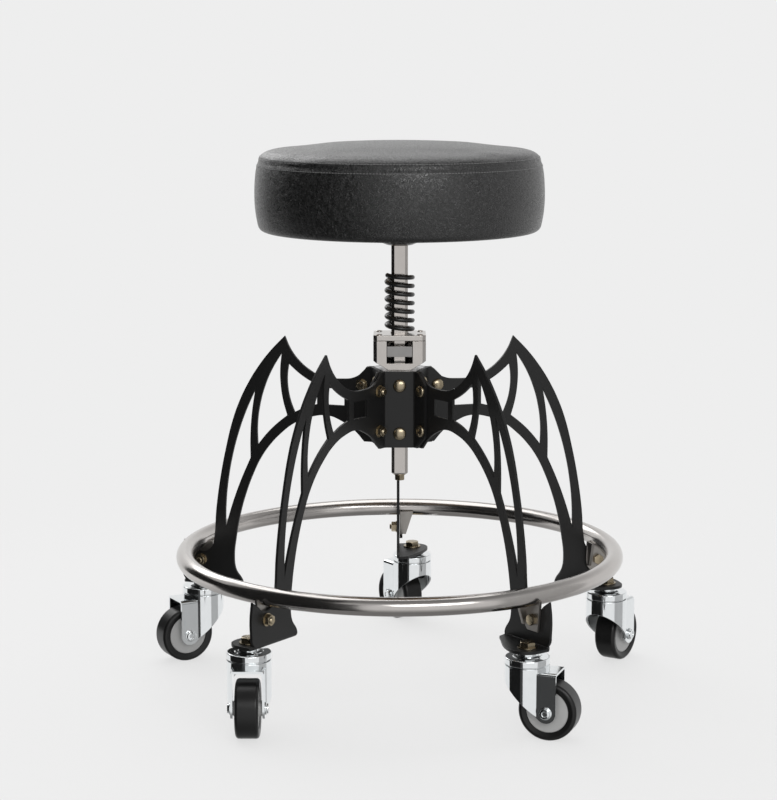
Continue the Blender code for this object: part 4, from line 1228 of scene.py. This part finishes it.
# %% Enamel, rubber and nylon
coat("black_enamel", 0.5, grey(0.008), grey(0.014), gloss=0.2, spread=0.12,
     patch=60, peel=700, depth=0.03 * MM, strength=0.4)
coat("black_rubber", 0.35, grey(0.006), grey(0.012), gloss=0.24, spread=0.16,
     patch=45, peel=1400, depth=0.05 * MM, strength=0.4)
coat("grey_nylon", 0.4, (0.40, 0.40, 0.395), (0.46, 0.46, 0.455), gloss=0.42, spread=0.12,
     patch=35, peel=800, depth=0.03 * MM, strength=0.3)
print("enamel, rubber and nylon ready")

# %% [markdown]
# The metals differ in colour, gloss and the way that they were worked. Ground steel has fine lines along
# the piece, polished steel only faint ones, zinc is bright with a slight mottle, yellow zinc wanders
# between brass and olive, the ring's tabs are dull rolled steel, and the hardened lock plate is dark from
# its heat treatment.


# %% Metals
def metal(name, dark, light, gloss, spread, lines=(1, 1, 1), fineness=60.0, depth=0.01 * MM):
    """Metal whose colour and gloss wander between two limits, with fine working lines."""
    material, place, shader = surface(name, {"Metallic": 1.0})
    cloud = grain(place, fineness)
    scratch = grain(place, 900, lines, 2.0)
    feed(shader, {"Base Color": cloud.mixed(dark, light),
                  "Roughness": gloss + spread * (0.5 * cloud + 0.5 * scratch)})
    relief(shader, scratch, depth, 0.3)
    finishes[name] = material
    return material


GROUND = (0.505, 0.475, 0.45), (0.57, 0.54, 0.515)
GROUND_LINES = (1, 1, 0.03)
others = len(finishes)
metal("satin_steel", *GROUND, 0.13, 0.12, GROUND_LINES)
metal("polished_steel", (0.51, 0.485, 0.465), (0.57, 0.545, 0.525), 0.16, 0.06, (0.1, 0.1, 1))
metal("bright_zinc", (0.80, 0.83, 0.84), (0.88, 0.90, 0.91), 0.06, 0.05, fineness=120.0)
metal("yellow_zinc", (0.33, 0.275, 0.185), (0.45, 0.385, 0.28), 0.2, 0.12, fineness=220.0)
metal("dark_steel", (0.27, 0.262, 0.258), (0.36, 0.352, 0.345), 0.25, 0.15)
rolled = metal("rolled_steel", (0.30, 0.285, 0.265), (0.40, 0.38, 0.36), 0.3, 0.15)
metal("bronze", (0.48, 0.33, 0.16), (0.58, 0.42, 0.22), 0.3, 0.15)
metal("machined_aluminium", (0.62, 0.62, 0.63), (0.72, 0.72, 0.73), 0.25, 0.12, (1, 1, 0.05))
print("metals:", len(finishes) - others)

# %% [markdown]
# The lock block is ground steel on its outside, and its hollow is coloured near-black and made duller as
# painted shade, so that the recess behind the window looks dark. Whatever lies further in than the block's
# wall on all three axes belongs to the hollow, and that mask mixes the two surfaces.

# %% Lock block's steel, with painted shade in its hollow
BLOCK_WALL = 5 * MM
block_low, block_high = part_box("lock_block")
lock_steel_with_painted_shade, place, shader = surface("lock_steel_with_painted_shade", {"Metallic": 1.0})
painted_shade_mask = 1
for axis in range(3):
    along = place.node("ShaderNodeSeparateXYZ", {0: place}, axis)
    painted_shade_mask = painted_shade_mask * along.maths("GREATER_THAN", along, block_low[axis] + BLOCK_WALL)
    painted_shade_mask = painted_shade_mask * along.maths("LESS_THAN", along, block_high[axis] - BLOCK_WALL)
ground = grain(place, 60).mixed(*GROUND)
# painted shade: inside the hollow the ground steel's colour gives way to near-black
feed(shader, {"Base Color": painted_shade_mask.mixed(ground, grey(0.02)),
              "Roughness": 0.13 + 0.12 * grain(place, 900, GROUND_LINES, 2.0) + 0.4 * painted_shade_mask})
print("block's steel ready")

# %% [markdown]
# The board inside the seat is plywood, seen only from below. Long thin noise gives its figure.

# %% Plywood
material, place, shader = surface("plywood", {"Specular IOR Level": 0.3})
figure = grain(place, 40, (1, 12, 1), 4.0)
feed(shader, {"Base Color": figure.mixed((0.30, 0.19, 0.10), (0.46, 0.32, 0.19)),
              "Roughness": 0.6 + 0.2 * figure})
relief(shader, figure, 0.1 * MM, 0.4)
finishes["plywood"] = material
print("plywood ready")

# %% [markdown]
# Every piece now takes the finish that its slot asks for, and so do the parts of the engineering model,
# some of which still show. Three pieces have a finish of their own instead.

# %% Painting
own = {thread_piece.name: thread, tab_piece.name: rolled, block_piece.name: lock_steel_with_painted_shade}
slot_of = {part["node"]: part["material_slot"] for part in frame["record"]["subparts"]}
for name, node in frame["nodes"].items():
    node.data.materials.clear()
    node.data.materials.append(finishes[slot_of[name]])
for piece in bpy.context.scene.objects:
    if "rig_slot" in piece:
        piece.data.materials.append(own.get(piece.name, finishes[piece["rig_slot"]]))
print("finishes:", len(finishes))

# %% [markdown]
# The studio is a pale room with no corners. Its background is paper white to the camera and a little
# dimmer as light on dull surfaces. Bright metal shows what it faces, so for reflections the room also
# darkens towards straight up and straight down; that shades the ring and the forks.

# %% Background
PAPER = 0.855  # the background's grey, as light
AMBIENT = 0.62
DIM = 0.26  # what bright metal sees of the room straight above and below
STEEP_FROM, STEEP_TO = 0.3, 0.85  # sines of the angles between which it darkens
world = bpy.data.worlds.new("studio")
bpy.context.scene.world = world
world.use_nodes = True
tree = world.node_tree
rays = tree.nodes.new("ShaderNodeLightPath").outputs
straight, mirrored, through = [
    Wire(tree, rays[kind]) for kind in ("Is Camera Ray", "Is Glossy Ray", "Is Transmission Ray")]
ways = Wire(tree, tree.nodes.new("ShaderNodeTexCoord").outputs["Generated"])
height = ways.node("ShaderNodeSeparateXYZ", {0: ways}, 2)
slope = height.maths("ABSOLUTE", height, 0)
steep = slope.node("ShaderNodeMapRange", {0: slope, 1: STEEP_FROM, 2: STEEP_TO, 3: 0.0, 4: 1.0})
lit = (mirrored + through).mixed(grey(AMBIENT), steep.mixed(grey(PAPER), grey(DIM)))
glow = straight.mixed(lit, grey(PAPER))
tree.links.new(glow.socket, tree.nodes["Background"].inputs["Color"])
print("background:", PAPER)

# %% [markdown]
# The floor is the same pale paper. It is mostly see-through, so that only soft shadows are left of it,
# and it fades out before its edge. Mirrors don't see it, because a cut edge would draw a line on them.

# %% Floor
FLOOR_R = 1.6
FLOOR_HOLD = 0.22  # share of the floor in what is seen; the rest is the paper behind it
FADE_FROM, FADE_TO = 0.5, 1.3
floor = added("floor", turned([(0, 0), (FLOOR_R, 0)], 96))
material, place, shader = surface("floor", {"Roughness": 0.9, "Specular IOR Level": 0.1})
far = place.node("ShaderNodeVectorMath", {0: place}, 1, operation="LENGTH")
fade = far.node("ShaderNodeMapRange", {0: far, 1: FADE_FROM, 2: FADE_TO, 3: FLOOR_HOLD, 4: 0.0},
                interpolation_type="SMOOTHSTEP")
feed(shader, {"Base Color": grain(place, 3).mixed(grey(0.825), grey(0.835)), "Alpha": fade})
floor.data.materials.append(material)
floor.visible_glossy = False
floor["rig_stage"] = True
print("floor: fades out from", FADE_FROM, "to", FADE_TO, "m")

# %% [markdown]
# Three large soft lights do the rest: one overhead, one in front on the right that opens up the dark
# legs, and one behind on the left that draws the bright edge along the top of the seat.


# %% Lights
def soft_light(name, place, aim, size, power):
    """Rectangular lamp that faces a point and that the camera doesn't see."""
    lamp = bpy.data.lights.new(name, "AREA")
    lamp.shape = "RECTANGLE"
    lamp.size, lamp.size_y = size
    lamp.energy = power
    light = added(name, lamp)
    light.location = place
    light.rotation_euler = (Vector(aim) - Vector(place)).to_track_quat("-Z", "Y").to_euler()
    light.visible_camera = False


soft_light("top_light", place=(-0.3, 0.9, 2.6), aim=(0, 0.1, 0.3), size=(2.4, 2.2), power=29)
soft_light("front_light", place=(0.7, -2.4, 1.5), aim=(0, 0, 0.4), size=(1.8, 0.8), power=20)
soft_light("back_light", place=(-1.3, 2.1, 1.75), aim=(0, 0, 0.7), size=(1.8, 0.9), power=12)

# %% [markdown]
# A photographer shapes bright metal with dark cards. A tall black one stands on the left with a softer
# edge towards the camera, a low one goes on from it, and a grey one stands on the right. Only reflections
# see them: they draw the dark bands on the forks, the ring and the post, and cast no shadow.


# %% Screens
SCREEN_R = 2.4
SCREEN_STEPS = 24
DEEP = -2.4  # undersides mirror what lies lower than the floor


def screen(name, start, end, low, high, level):
    """Upright card on part of a circle round the stool, from one bearing left of the camera to another."""
    rows = ([], [])
    for i in range(SCREEN_STEPS + 1):
        bearing = math.radians(start + (end - start) * i / SCREEN_STEPS)
        for row, height in zip(rows, (low, high)):
            row.append((-SCREEN_R * math.sin(bearing), -SCREEN_R * math.cos(bearing), height))
    faces = [(i, i + 1, i + SCREEN_STEPS + 2, i + SCREEN_STEPS + 1) for i in range(SCREEN_STEPS)]
    mesh = bpy.data.meshes.new(name)
    mesh.from_pydata(rows[0] + rows[1], [], faces)
    card = added(name, mesh)
    material, spot, shader = surface(name, {"Roughness": 1.0, "Specular IOR Level": 0.0})
    feed(shader, {"Base Color": grain(spot, 2).mixed(grey(0.9 * level), grey(level))})
    mesh.materials.append(material)
    card.visible_camera = False
    card.visible_diffuse = False
    card.visible_shadow = False
    card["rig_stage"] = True


screen("edge_screen", 19, 31, DEEP, 1.3, level=0.07)
screen("dark_screen", 31, 100, DEEP, 4.2, level=0.012)
screen("side_screen", 100, 132, -0.05, 1.3, level=0.012)
screen("grey_screen", -100, -48, DEEP, 1.6, level=0.6)
print("screens:", SCREEN_R, "m away")

# %% [markdown]
# Last, the boxes of the engineering model and of the dressed model are printed side by side.

seen_low, seen_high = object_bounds()
for label, low, high in (("engineering", cad_low, cad_high), ("dressed", seen_low, seen_high)):
    print(label, "box in mm:", [round(x / MM, 1) for x in high - low])
